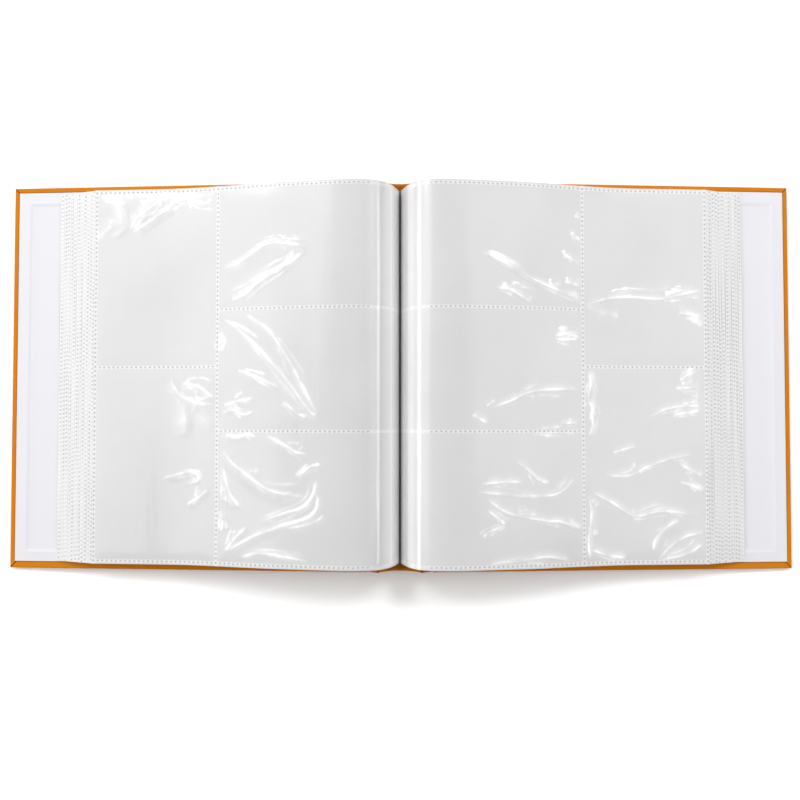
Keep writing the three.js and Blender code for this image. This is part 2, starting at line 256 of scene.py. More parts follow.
BOOK_CLOTH = Finish("orange_book_cloth", (0.63, 0.2, 0.005), 0.62, mirror=0.07)
ENDPAPER = Finish("white_endpaper", (0.77, 0.77, 0.81), 0.55, mirror=0.2)
GREYBOARD = Finish("raw_greyboard", (0.27, 0.25, 0.22), 0.9, mirror=0.2)
LINING = Finish("woven_lining", (0.075, 0.05, 0.035), 0.9, mirror=0.2)
FILM = Finish("glossy_pocket_film", (0.675, 0.672, 0.672), 0.32, coat=1.0, coat_roughness=0.12)
LEAF_EDGE = Finish("stacked_leaf_film", (0.71, 0.71, 0.71), 0.4, coat=0.5)
WELD_DOT = Finish("weld_dot", (0.4, 0.4, 0.41), 0.45, mirror=0.4)
PALE_DOT = Finish("pale_weld_dot", (0.52, 0.52, 0.53), 0.5, mirror=0.4)


class Value:
    """A node's output that can stand in sums and products."""

    def __init__(self, graph: "Graph", socket: bpy.types.NodeSocket) -> None:
        """Keeps the socket and the graph that it is in."""
        self.graph = graph
        self.socket = socket

    def __add__(self, other: "Value | float") -> "Value":
        """This value and another."""
        return self.graph.maths("ADD", self, other)

    def __sub__(self, other: "Value | float") -> "Value":
        """This value less another."""
        return self.graph.maths("SUBTRACT", self, other)

    def __rsub__(self, other: float) -> "Value":
        """A number less this value."""
        return self.graph.maths("SUBTRACT", other, self)

    def __mul__(self, other: "Value | float") -> "Value":
        """This value times another."""
        return self.graph.maths("MULTIPLY", self, other)

    def __abs__(self) -> "Value":
        """This value without its sign."""
        return self.graph.maths("ABSOLUTE", self)


class Graph:
    """A short way to add and join nodes in one tree."""

    def __init__(self, tree: bpy.types.NodeTree) -> None:
        """Keeps the tree."""
        self.tree = tree

    def add(self, kind: str, inputs: dict | None = None, **settings: object) -> bpy.types.Node:
        """Adds a node.

        Args:
            kind: The node's type name.
            inputs: Values or numbers for its sockets, by name or place.
            settings: Values for its own properties.

        Returns:
            The new node.
        """
        node = self.tree.nodes.new(kind)
        for key, value in settings.items():
            setattr(node, key, value)
        for key, value in (inputs or {}).items():
            if isinstance(value, Value):
                self.link(value, node.inputs[key])
            else:
                node.inputs[key].default_value = value
        return node

    def read(self, kind: str, output: str | int, inputs: dict | None = None, **settings: object) -> Value:
        """Adds a node, as add does, and gives one of its outputs, by name or place."""
        return Value(self, self.add(kind, inputs, **settings).outputs[output])

    def maths(self, operation: str, *values: Value | float) -> Value:
        """The result of a Math node over values or numbers."""
        return self.read("ShaderNodeMath", 0, dict(enumerate(values)), operation=operation)

    def ramp(self, value: Value, low: float, high: float) -> Value:
        """A smooth step of a value from low to high; low may be the greater of the two."""
        span = {"Value": value, "From Min": low, "From Max": high}
        return self.read("ShaderNodeMapRange", "Result", span, interpolation_type="SMOOTHSTEP")

    def noise(self, place: Value, scale: Value | float, detail: float) -> Value:
        """Cloudy noise between 0 and 1."""
        return self.read("ShaderNodeTexNoise", 0, {"Vector": place, "Scale": scale, "Detail": detail})

    def bump(self, height: Value, strength: float, distance: float) -> Value:
        """The normal of a surface raised by a height."""
        given = {"Strength": strength, "Distance": distance, "Height": height}
        return self.read("ShaderNodeBump", "Normal", given)

    def place(self, kind: str) -> Value:
        """The texture coordinates of that kind."""
        return self.read("ShaderNodeTexCoord", kind)

    def split(self, vector: Value) -> list[Value]:
        """The three parts of a vector."""
        node = self.add("ShaderNodeSeparateXYZ", {0: vector})
        return [Value(self, socket) for socket in node.outputs]

    def link(self, value: Value, target: bpy.types.NodeSocket) -> None:
        """Joins a value to a node's input."""
        self.tree.links.new(value.socket, target)


class SharedShading:
    """Node groups that several finishes use."""

    WELD_FADE, WELD_HALF = 1.9 * MM, 1.0 * MM
    BEAD_FADE, BEAD_HALF = 2.6 * MM, 0.4 * MM
    BEAD_CLEARING = 25 * MM
    # Painted light on the film in the gutter: how strong it is, where it is full and where it ends
    GUTTER_LIFT, GUTTER_FULL, GUTTER_END = 0.24, 16 * MM, 36 * MM
    STREAKS = (130.0, 9.0, 30.0)

    def __init__(self, sizes: AlbumSizes) -> None:
        """Makes every group once."""
        self.sizes = sizes
        self.weld_band = self._make_weld_band()
        self.mottle = self._make_mottle()
        self.weave = self._make_weave()
        self.beads = self._make_beads(LeafPile.DOT_PITCH)
        self.under_beads = self._make_beads(LeafPile.UNDER_PITCH)
        self.whitening = self._make_whitening()
        self.gloss = self._make_gloss()

    @staticmethod
    def _start(name: str, *inputs: str) -> tuple[Graph, list[Value]]:
        """Starts a group.

        Args:
            name: The group's name.
            inputs: Names of the numbers that it takes.

        Returns:
            The group's graph and its inputs.
        """
        group = bpy.data.node_groups.new(name, "ShaderNodeTree")
        for label in inputs:
            group.interface.new_socket(label, in_out="INPUT", socket_type="NodeSocketFloat")
        graph = Graph(group)
        entry = graph.add("NodeGroupInput")
        return graph, [Value(graph, entry.outputs[label]) for label in inputs]

    @staticmethod
    def _end(graph: Graph, **outputs: Value) -> bpy.types.NodeTree:
        """Ends a group.

        Args:
            graph: The group's graph.
            outputs: What it puts out, a normal under that name and numbers under others.

        Returns:
            The group.
        """
        for label in outputs:
            kind = "NodeSocketVector" if label == "Normal" else "NodeSocketFloat"
            graph.tree.interface.new_socket(label, in_out="OUTPUT", socket_type=kind)
        graph.add("NodeGroupOutput", outputs)
        return graph.tree

    def _page(self, graph: Graph) -> tuple[Value, Value, Value, Value]:
        """Places on a leaf, from its UV.

        Args:
            graph: The graph that uses them.

        Returns:
            Distance from the binding edge, distance from the head, 1 in the inner column of
            pockets, and 1 in the outer one.
        """
        along, down, _ = graph.split(graph.place("UV"))
        along = along * self.sizes.leaf_length
        outer = graph.maths("GREATER_THAN", along, self.sizes.column_seam)
        return along, down * self.sizes.page_height, 1.0 - outer, outer

    def _make_weld_band(self) -> bpy.types.NodeTree:
        """1 along a leaf's weld lines and 0 in its pockets."""
        graph, _ = self._start("weld band")
        along, down, inner, outer = self._page(graph)

        def band(place: Value, seam: float) -> Value:
            """1 on one weld line and 0 away from it."""
            return graph.ramp(abs(place - seam), self.WELD_FADE, self.WELD_HALF)

        bands = [band(along, seam) for seam in POCKETS.lengthwise]
        bands += [band(down, seam) * inner for seam in POCKETS.inner_rows]
        bands += [band(down, seam) * outer for seam in POCKETS.outer_rows]
        total = bands[0]
        for other in bands[1:]:
            total = graph.maths("MAXIMUM", total, other)
        return self._end(graph, Band=total)

    def _make_mottle(self) -> bpy.types.NodeTree:
        """Slow uneven tone over paper, film and cloth."""
        graph, (scale, depth) = self._start("slow mottle", "Scale", "Depth")
        noise = graph.noise(graph.place("Object"), scale, 3.0)
        return self._end(graph, Tone=(noise - 0.5) * depth + 1.0)

    def _make_weave(self) -> bpy.types.NodeTree:
        """Fine crossed threads of book cloth, as a tone and a raised normal."""
        graph, (pitch,) = self._start("cloth weave", "Pitch")
        place = graph.place("Object")
        rate = graph.maths("DIVIDE", math.tau, pitch)
        warp, weft = (graph.maths("SINE", axis * rate) for axis in graph.split(place)[:2])
        grain = warp * weft * 0.35 + graph.noise(place, 900.0, 2.0)
        return self._end(graph, Tone=grain * 0.12 + 0.94, Normal=graph.bump(grain, 0.35, 0.1 * MM))

    def _make_beads(self, dot_pitch: float) -> bpy.types.NodeTree:
        """Tone of the puckered film along a weld: a painted highlight on the beads between the dots, and
        grey at the dots.

        Args:
            dot_pitch: Distance between two dots, before it is fitted to a weld's length.

        Returns:
            The group.
        """
        sizes = self.sizes
        graph, _ = self._start("weld beads")
        along, down, inner, outer = self._page(graph)
        clear = graph.ramp(along, POCKETS.PLAIN_UNTIL, POCKETS.PLAIN_UNTIL + self.BEAD_CLEARING)

        def line(place: Value, seam: float) -> Value:
            """1 on one weld line, and less beside it."""
            return graph.ramp(abs(place - seam), self.BEAD_FADE, self.BEAD_HALF)

        def pearls(place: Value, start: float, end: float) -> Value:
            """A wave that is highest between two dots, from one end of a weld to the other."""
            pitch = (end - start) / int((end - start) / dot_pitch)
            return graph.maths("COSINE", (place - start) * (math.tau / pitch)) * -1.0

        lengthwise = pearls(down, sizes.edge_weld, sizes.page_height - sizes.edge_weld)
        inward = pearls(along, sizes.binding_tab, sizes.column_seam) * inner * clear
        outward = pearls(along, sizes.column_seam, sizes.fore_seam) * outer * clear
        parts = [line(along, seam) * lengthwise for seam in POCKETS.lengthwise[1:]]
        parts += [line(down, row) * inward for row in POCKETS.inner_rows]
        parts += [line(down, row) * outward for row in POCKETS.outer_rows]
        return self._end(graph, Tone=sum(parts[1:], parts[0]) * 0.07)

    def _make_whitening(self) -> bpy.types.NodeTree:
        """Painted light on the film: painted highlights along its creases, and painted light that lightens
        it where it stands in the gutter's shade.
        """
        graph, _ = self._start("film whitening")
        # Painted crease highlights from the Relief layer, broken up by noise
        shine = graph.split(graph.read("ShaderNodeUVMap", "UV", uv_map=RELIEF))[1]
        broken = graph.noise(graph.place("Object"), 75.0, 3.0)
        strength = graph.ramp(broken, 0.3, 0.62) * 0.4 + 0.14
        # Painted light lifting the film's shade deep in the gutter
        deep = graph.ramp(self._page(graph)[0], self.GUTTER_END, self.GUTTER_FULL) * self.GUTTER_LIFT
        return self._end(graph, Tone=shine * strength + deep)

    def _make_gloss(self) -> bpy.types.NodeTree:
        """Normal of the film's glossy face: its creases, fine crumples near them, slow streaks."""
        graph, _ = self._start("film gloss")
        creases = graph.split(graph.read("ShaderNodeUVMap", "UV", uv_map=RELIEF))[0]
        place = graph.place("Object")
        crumple = graph.noise(place, 190.0, 2.0) * graph.ramp(creases, 0.02, 0.2)
        drawn = {0: place, 1: self.STREAKS}
        streak = graph.noise(graph.read("ShaderNodeVectorMath", 0, drawn, operation="MULTIPLY"), 1.0, 2.0)
        height = creases * 1.5 + crumple * 0.22 + streak * 0.25
        return self._end(graph, Normal=graph.bump(height, 1.0, MM))


class Materials:
    """Makes each finish once."""

    THREAD_PITCH = 0.7 * MM
    LINING_PITCH = 1.1 * MM
    DOT_GRAIN = (300.0, 0.3)

    def __init__(self, shading: SharedShading) -> None:
        """Makes the finishes out of the shared shading."""
        self.shading = shading
        self.cloth = self._woven(BOOK_CLOTH, self.THREAD_PITCH)
        self.edged_cloth = self._woven(BOOK_CLOTH, self.THREAD_PITCH, edged=True)
        self.lining = self._woven(LINING, self.LINING_PITCH)
        self.endpaper = self._mottled(ENDPAPER, 14.0, 0.02)
        self.greyboard = self._mottled(GREYBOARD, 400.0, 0.3)
        self.film = self._film(FILM, shading.beads)
        self.leaf = self._film(LEAF_EDGE, shading.under_beads)
        self.dot = self._mottled(WELD_DOT, *self.DOT_GRAIN)
        self.pale_dot = self._mottled(PALE_DOT, *self.DOT_GRAIN)

    @staticmethod
    def _start(finish: Finish) -> tuple[bpy.types.Material, Graph, bpy.types.Node]:
        """Starts a material with the finish's plain values on the shader's own sockets.

        Args:
            finish: The finish.

        Returns:
            The material, its graph and its shader.
        """
        material = bpy.data.materials.new(finish.name)
        material.use_nodes = True
        material.diffuse_color = (*finish.colour, 1.0)
        shader = material.node_tree.nodes["Principled BSDF"]
        shader.inputs["Base Color"].default_value = (*finish.colour, 1.0)
        shader.inputs["Roughness"].default_value = finish.roughness
        shader.inputs["Specular IOR Level"].default_value = finish.mirror
        shader.inputs["Coat Weight"].default_value = finish.coat
        shader.inputs["Coat Roughness"].default_value = finish.coat_roughness
        return material, Graph(material.node_tree), shader

    @staticmethod
    def _shared(graph: Graph, tree: bpy.types.NodeTree, output: str = "Tone", **values: float) -> Value:
        """One output of a shared group, placed in a material with its inputs set."""
        return graph.read("ShaderNodeGroup", output, values, node_tree=tree)

    @staticmethod
    def _tint(graph: Graph, shader: bpy.types.Node, finish: Finish, tone: Value) -> None:
        """Colours the shader with the finish's colour times a tone."""
        scaled = {0: finish.colour, "Scale": tone}
        colour = graph.read("ShaderNodeVectorMath", "Vector", scaled, operation="SCALE")
        graph.link(colour, shader.inputs["Base Color"])

    def _mottled(self, finish: Finish, scale: float, depth: float) -> bpy.types.Material:
        """A finish with slow uneven tone.

        Args:
            finish: The finish.
            scale: How fine the mottle is.
            depth: How far the tone swings.

        Returns:
            The material.
        """
        material, graph, shader = self._start(finish)
        mottle = self._shared(graph, self.shading.mottle, Scale=scale, Depth=depth)
        self._tint(graph, shader, finish, mottle)
        return material

    def _woven(self, finish: Finish, pitch: float, edged: bool = False) -> bpy.types.Material:
        """A finish with threads, mottled a little.

        Args:
            finish: The finish.
            pitch: Distance between two threads.
            edged: Whether the piece's UV gives its distance past the endpaper and from a mitre, in
                millimetres, for the cloth's painted shade: a painted shadow beside the endpaper's edge and
                painted shade along the mitre folds.

        Returns:
            The material.
        """
        material, graph, shader = self._start(finish)
        weave = graph.add("ShaderNodeGroup", {"Pitch": pitch}, node_tree=self.shading.weave)
        tone = Value(graph, weave.outputs["Tone"])
        tone = tone * self._shared(graph, self.shading.mottle, Scale=22.0, Depth=0.10)
        if edged:
            # Painted shade: a painted shadow of the endpaper's edge on the cloth beside it, and painted
            # shade along the mitre folds
            past_paper, from_mitre, _ = graph.split(graph.place("UV"))
            beside = graph.ramp(past_paper, 1.3, 0.3) * 0.55
            fold = graph.ramp(from_mitre, 0.6, 0.15) * 0.8
            tone = tone * (1.0 - graph.maths("MAXIMUM", beside, fold))
        self._tint(graph, shader, finish, tone)
        graph.link(Value(graph, weave.outputs["Normal"]), shader.inputs["Normal"])
        return material

    def _film(self, finish: Finish, beads: bpy.types.NodeTree) -> bpy.types.Material:
        """Film over white paper, whiter along its welds, with painted highlights on the beads between their
        dots and along its creases, and painted light in the gutter.

        Args:
            finish: The finish.
            beads: The group that gives the beads' tone and their painted highlight.

        Returns:
            The material.
        """
        material, graph, shader = self._start(finish)
        shading = self.shading
        cloudy = self._shared(graph, shading.mottle, Scale=13.0, Depth=0.16)
        grainy = self._shared(graph, shading.mottle, Scale=650.0, Depth=0.06)
        tone = cloudy * grainy + self._shared(graph, shading.weld_band, "Band") * 0.12
        # Adds the beads' painted highlight, the creases' painted highlights and the gutter's painted light
        tone = tone + self._shared(graph, beads) + self._shared(graph, shading.whitening)
        self._tint(graph, shader, finish, tone)
        graph.link(self._shared(graph, shading.gloss, "Normal"), shader.inputs["Coat Normal"])
        return material


class MeshMaker:
    """Collects the points and faces of one piece, then makes its object.

    Pieces are drawn on the right-hand side. For the left side they are mirrored.
    """

    def __init__(self, name: str, side: Side = Side.RIGHT) -> None:
        """Starts an empty piece of that name."""
        self.name = name
        self.side = side
        self.points: list[np.ndarray] = []
        self.faces: list[tuple[int, ...]] = []
        self.uvs: list[np.ndarray] = []
        self.count = 0

    def add_points(self, points: np.ndarray, uv: np.ndarray | None = None) -> int:
        """Adds points.

        Args:
            points: Points in any array shape that ends in 3.
            uv: Two numbers for each point, or none for a piece without a pattern.

        Returns:
            The first point's number.
        """
        flat = np.asarray(points, float).reshape(-1, 3)
        start = self.count
        self.points.append(flat)
        self.uvs.append(np.zeros((len(flat), 2)) if uv is None else uv.reshape(-1, 2))
        self.count += len(flat)
        return start

    def add_grid(self, start: int, rows: int, columns: int, turned: bool = False) -> None:
        """Adds quads over a grid of points, row after row.

        Args:
            start: Number of the grid's first point.
            rows: Points down the grid.
            columns: Points across it.
            turned: Whether the faces point the other way.
        """
        row, column = np.meshgrid(np.arange(rows - 1), np.arange(columns - 1), indexing="ij")
        corner = (start + row * columns + column).ravel()
        ring = np.stack([corner, corner + columns, corner + columns + 1, corner + 1], axis=1)
        if turned:
            ring = ring[:, ::-1]
        self.faces.extend(map(tuple, ring.tolist()))

    def add_rings(self, start: int, count: int, ring: int, closed: bool) -> None:
        """Adds quads from ring to ring, and a face over the first and the last.

        Args:
            start: Number of the first ring's first point.
            count: How many rings there are.
            ring: Points in a ring.
            closed: Whether a ring's last point is joined to its first.
        """
        for first in range(start, start + (count - 1) * ring, ring):
            for j in range(ring if closed else ring - 1):
                a, b = first + j, first + (j + 1) % ring
                self.faces.append((a, b, b + ring, a + ring))
        last = start + (count - 1) * ring
        self.faces.append(tuple(reversed(range(start, start + ring))))
        self.faces.append(tuple(range(last, last + ring)))

    def add_sheet(self, upper: np.ndarray, lower: np.ndarray, uv: np.ndarray | None = None) -> None:
        """Adds a closed sheet: an upper grid, a lower grid with as many stations, and its walls.

        Args:
            upper: Points, stations by rows by 3. Rows run from the head to the tail.
            lower: Points, stations by any number of rows by 3, under the same outline.
            uv: Two numbers for each upper point, stations by rows by 2.
        """
        stations, rows = upper.shape[:2]
        low_rows = lower.shape[1]
        under = np.linspace(0, rows - 1, low_rows).astype(int)
        top = self.add_points(upper, uv)
        bottom = self.add_points(lower, None if uv is None else uv[:, under])
        self.add_grid(top, stations, rows, turned=True)
        self.add_grid(bottom, stations, low_rows)
        for i in range(stations - 1):
            a, b = top + i * rows, top + (i + 1) * rows
            c, d = bottom + i * low_rows, bottom + (i + 1) * low_rows
            self.faces.append((a, b, d, c))
            self.faces.append((b + rows - 1, a + rows - 1, c + low_rows - 1, d + low_rows - 1))
        last_top, last_low = top + (stations - 1) * rows, bottom + (stations - 1) * low_rows
        self.faces.append((*range(top, top + rows), *reversed(range(bottom, bottom + low_rows))))
        self.faces.append(
            (*range(last_low, last_low + low_rows), *reversed(range(last_top, last_top + rows)))
        )

    def build(self, material: bpy.types.Material, sharp: float = math.radians(38)) -> bpy.types.Object:
        """Makes the object, shaded smooth with its sharp edges kept.

        Args:
            material: The piece's finish.
            sharp: Edges bent more than this stay sharp.

        Returns:
            The new object, linked to the scene.
        """
        points = np.concatenate(self.points)
        faces = self.faces
        if self.side is Side.LEFT:
            points = points * np.array([-1.0, 1.0, 1.0])
            faces = [face[::-1] for face in faces]
        mesh = bpy.data.meshes.new(self.name)
        mesh.from_pydata(points.tolist(), [], faces)
        add_corner_layer(mesh, "UVMap", np.concatenate(self.uvs))
        mesh.polygons.foreach_set("use_smooth", np.ones(len(mesh.polygons), bool))
        mesh.set_sharp_from_angle(angle=sharp)
        mesh.materials.append(material)
        mesh.update()
        piece = bpy.data.objects.new(self.name, mesh)
        bpy.context.scene.collection.objects.link(piece)
        return piece


def add_corner_layer(mesh: bpy.types.Mesh, name: str, pairs: np.ndarray) -> None:
    """Keeps two numbers for each vertex in a UV layer of a mesh."""
    corners = np.empty(len(mesh.loops), dtype=np.int32)
    mesh.loops.foreach_get("vertex_index", corners)
    layer = mesh.uv_layers.new(name=name)
    layer.data.foreach_set("uv", pairs[corners].astype(np.float32).ravel())


def bezier(corners: Sequence[np.ndarray], parts: int) -> np.ndarray:
    """Points on a cubic curve with four control points."""
    t = np.linspace(0.0, 1.0, parts + 1)[:, None]
    a, b, c, d = (np.asarray(corner, float) for corner in corners)
    return (1 - t) ** 3 * a + 3 * (1 - t) ** 2 * t * b + 3 * (1 - t) * t**2 * c + t**3 * d


def square_off(run: np.ndarray) -> np.ndarray:
    """Directions in a plane turned left by a right angle."""
    return np.stack([-run[..., 1], run[..., 0]], axis=-1)


class LeafLine:
    """One leaf's line in X and Z, from its foot in the spine over its crest to its tip."""

    PARTS = 300
    GLIDE_SHARE = 0.37
    # The top leaf lies a little lower past its crest, so that the two sides meet when shut
    SHOULDER = 79 * MM
    SHOULDER_REACH = 29 * MM
    SHOULDER_DIP = 1.68 * MM
    SHOULDER_LOSS = 0.75

    def __init__(self, sizes: AlbumSizes, level: float) -> None:
        """Draws the line.

        Args:
            sizes: The album's sizes.
            level: 0 for the bottom leaf and 1 for the top one.
        """
        self.half_page = sizes.page_height / 2
        down = sizes.down_cover
        gutter = math.asin(sizes.gutter_half_gap / sizes.foot_radius)
        angle = sizes.foot_spread + (gutter - sizes.foot_spread) * level
        out = np.array([math.sin(angle), -math.cos(angle)])
        self.foot = np.array([0.0, sizes.spine_centre]) + sizes.foot_radius * out
        lean = sizes.bottom_lean + (sizes.top_lean - sizes.bottom_lean) * level
        low, high = np.array(sizes.bottom_crest), np.array(sizes.top_crest)
        self.crest = sizes.hinge + low + (high - low) * level
        rise = float(np.linalg.norm(self.crest - self.foot)) / 2
        pile = sizes.paper_top + sizes.seat + sizes.leaf_thickness / 2
        pile += level * sizes.pile_pitch * (sizes.leaves - 1)
        reach = sizes.bottom_landing + (sizes.top_landing - sizes.bottom_landing) * level
        landing = sizes.hinge + down * reach + sizes.off_cover * pile
        glide = (landing[0] - self.crest[0]) * self.GLIDE_SHARE
        leaving = self.foot + rise * np.array([math.cos(lean), math.sin(lean)])
        rising = (self.foot, leaving, self.crest - np.array([rise, 0.0]), self.crest)
        falling = (self.crest, self.crest + np.array([glide, 0.0]), landing - down * glide, landing)
        flat = landing + down * np.linspace(1 * MM, sizes.reach, self.PARTS)[:, None]
        self.points = np.vstack([bezier(rising, self.PARTS), bezier(falling, self.PARTS)[1:], flat])
        leaves_over = (1 - level) * (sizes.leaves - 1)
        dip = self.SHOULDER_DIP * max(0.0, 1 - self.SHOULDER_LOSS * leaves_over)
        over = (self.points[:, 0] - self.SHOULDER) / self.SHOULDER_REACH
        self.points[:, 1] -= dip * np.exp(-(over**2))
        steps = np.hypot(*np.diff(self.points, axis=0).T)
        self.arc = np.concatenate([[0.0], np.cumsum(steps)])
        self.crest_arc = float(self.arc[self.PARTS])
        tangent = np.gradient(self.points, self.arc, axis=0)
        self.tangent = tangent / np.linalg.norm(tangent, axis=1, keepdims=True)

    def at(self, distance: np.ndarray) -> tuple[np.ndarray, np.ndarray]:
        """Points and upward normals in X and Z.

        Args:
            distance: Distances from the binding edge, in any shape.

        Returns:
            Two arrays of that shape with a last axis of 2.
        """
        place = np.stack([np.interp(distance, self.arc, axis) for axis in self.points.T], axis=-1)
        run = np.stack([np.interp(distance, self.arc, axis) for axis in self.tangent.T], axis=-1)
        return place, square_off(run)

    def lift(self, distance: np.ndarray, row: np.ndarray, height: np.ndarray | float) -> np.ndarray:
        """Points over the leaf's middle surface.

        Args:
            distance: Distances from the binding edge.
            row: Distances from the head.
            height: Heights over the middle surface, one for all or one for each point.

        Returns:
            The points, with X, Y and Z in the last axis.
        """
        place, normal = self.at(distance)
        raised = place + normal * np.asarray(height)[..., None]
        return np.stack([raised[..., 0], self.half_page - row, raised[..., 1]], axis=-1)


class PageGrid:
    """A grid of places on a leaf."""

    def __init__(self, stations: np.ndarray, rows: np.ndarray) -> None:
        """Takes stations from the binding edge and rows from the head."""
        self.stations, self.rows = stations, rows
        self.distance, self.row = np.meshgrid(stations, rows, indexing="ij")


class PocketLayout:
    """Where a leaf's weld lines run."""

    SWELL_SHARE = 0.6
    WELD_REACH = 5.5 * MM
    TAUT_FROM, TAUT_FADE = 85 * MM, 65 * MM
    LEAST_SWELL = 0.22
    PLAIN_UNTIL = 42 * MM

    def __init__(self, sizes: AlbumSizes) -> None:
        """Lays the weld lines out, as distances from the binding edge and from the head."""
        self.sizes = sizes
        first, last = sizes.edge_weld, sizes.page_height - sizes.edge_weld
        pitch = sizes.print_short + sizes.landscape_ease
        self.lengthwise = (sizes.binding_tab, sizes.column_seam, sizes.fore_seam)
        self.inner_rows = (first, first + pitch, first + 2 * pitch, last)
        self.outer_rows = (first, first + sizes.print_long + sizes.portrait_ease, last)

    def nearest_weld(self, grid: PageGrid) -> np.ndarray:
        """How far a grid's places are from the nearest weld line, nothing outside the pockets."""
        distance, row = grid.distance, grid.row
        along = np.min([np.abs(distance - seam) for seam in self.lengthwise], axis=0)
        inner = np.min([np.abs(row - seam) for seam in self.inner_rows], axis=0)
        outer = np.min([np.abs(row - seam) for seam in self.outer_rows], axis=0)
        down = np.where(distance < self.sizes.column_seam, inner, outer)
        outside = (distance < self.lengthwise[0]) | (distance > self.lengthwise[-1])
        beyond = (row < self.inner_rows[0]) | (row > self.inner_rows[-1])
        return np.where(outside | beyond, 0.0, np.minimum(along, down))

    def swell(self, grid: PageGrid) -> np.ndarray:
        """How far an empty pocket's film stands up, with a soft uneven crown."""
        distance, row = grid.distance, grid.row
        rise = 1 - np.exp(-((self.nearest_weld(grid) / self.WELD_REACH) ** 1.6))
        crown = 0.78 + 0.12 * np.sin(distance / 0.031 + 1.3) * np.sin(row / 0.043)
        crown += 0.10 * np.sin(distance / 0.017 + row / 0.026)
        taut = np.clip((distance - self.TAUT_FROM) / self.TAUT_FADE, self.LEAST_SWELL, 1.0)
        return self.SWELL_SHARE * self.sizes.pocket_swell * rise * crown * taut

    def dots(self, pitch: float) -> np.ndarray:
        """Places of the weld dots.

        Args:
            pitch: Distance between two dots, before it is fitted to each weld line.

        Returns:
            A row for each dot: its distance from the binding edge, its distance from the head,
            and 1 where its line runs lengthwise or 0 where it runs across.
        """
        sizes = self.sizes
        places = []
        top, bottom = self.inner_rows[0], self.inner_rows[-1]
        for seam in self.lengthwise[1:]:
            count = int((bottom - top) / pitch)
            for step in range(count + 1):
                places.append((seam, top + step * (bottom - top) / count, 1.0))
        columns = (
            (self.inner_rows, sizes.binding_tab, sizes.column_seam),
            (self.outer_rows, sizes.column_seam, sizes.fore_seam),
        )
        for rows, start, end in columns:
            count = int((end - start) / pitch)
            for row in rows:
                for step in range(1, count):
                    places.append((start + step * (end - start) / count, row, 0.0))
        table = np.array(places)
        return table[table[:, 0] >= self.PLAIN_UNTIL]


POCKETS = PocketLayout(SIZES)


@dataclass(frozen=True)
class PictureView:
    """The camera that the picture was taken with, worked out from the album's outline."""

    focal_pixels: float = 718.4
    frame_pixels: float = 800.0
    tilt: float = 0.0263
    yaw: float = 0.0046
    roll: float = 0.0001
    place: tuple[float, float, float] = (2.9 * MM, -37.6 * MM, 644.4 * MM)
    sensor: float = 36.0

    @property
    def turn(self) -> np.ndarray:
        """Rotation from the camera's axes to the album's."""
        turn = Matrix.Rotation(self.tilt, 3, "X") @ Matrix.Rotation(self.yaw, 3, "Y")
        return np.array(turn @ Matrix.Rotation(self.roll, 3, "Z"))

    def on_leaf(self, line: LeafLine, side: Side, spots: Sequence[Sequence[float]]) -> np.ndarray:
        """Where points of the picture lie on a leaf.

        Args:
            line: The leaf's line.
            side: The leaf's side of the album.
            spots: Pixels, across and down.

        Returns:
            Distance from the binding edge and row from the head, for each point.
        """
        spots = np.asarray(spots, float)
        middle = self.frame_pixels / 2
        rays = np.stack(
            [
                (spots[:, 0] - middle) / self.focal_pixels,
                (middle - spots[:, 1]) / self.focal_pixels,
                -np.ones(len(spots)),
            ],
            axis=1,
        )
        rays = rays @ self.turn.T
        height = np.full(len(spots), line.crest[1])
        across = np.zeros(len(spots))
        for _ in range(8):
            reach = (height - self.place[2]) / rays[:, 2]
            across = (self.place[0] + rays[:, 0] * reach) * side.value
            height = np.interp(across, line.points[:, 0], line.points[:, 1])
        along = self.place[1] + rays[:, 1] * (height - self.place[2]) / rays[:, 2]
        distance = np.interp(across, line.points[:, 0], line.arc)
        return np.stack([distance, line.half_page - along], axis=1)


VIEW = PictureView()


@dataclass(frozen=True)
class Crease:
    """A crease in the top film. Its path is in picture pixels, its sizes are real."""

    path: tuple[tuple[float, float], ...]
    width: float
    height: float
    fold: Fold = Fold.SHARP


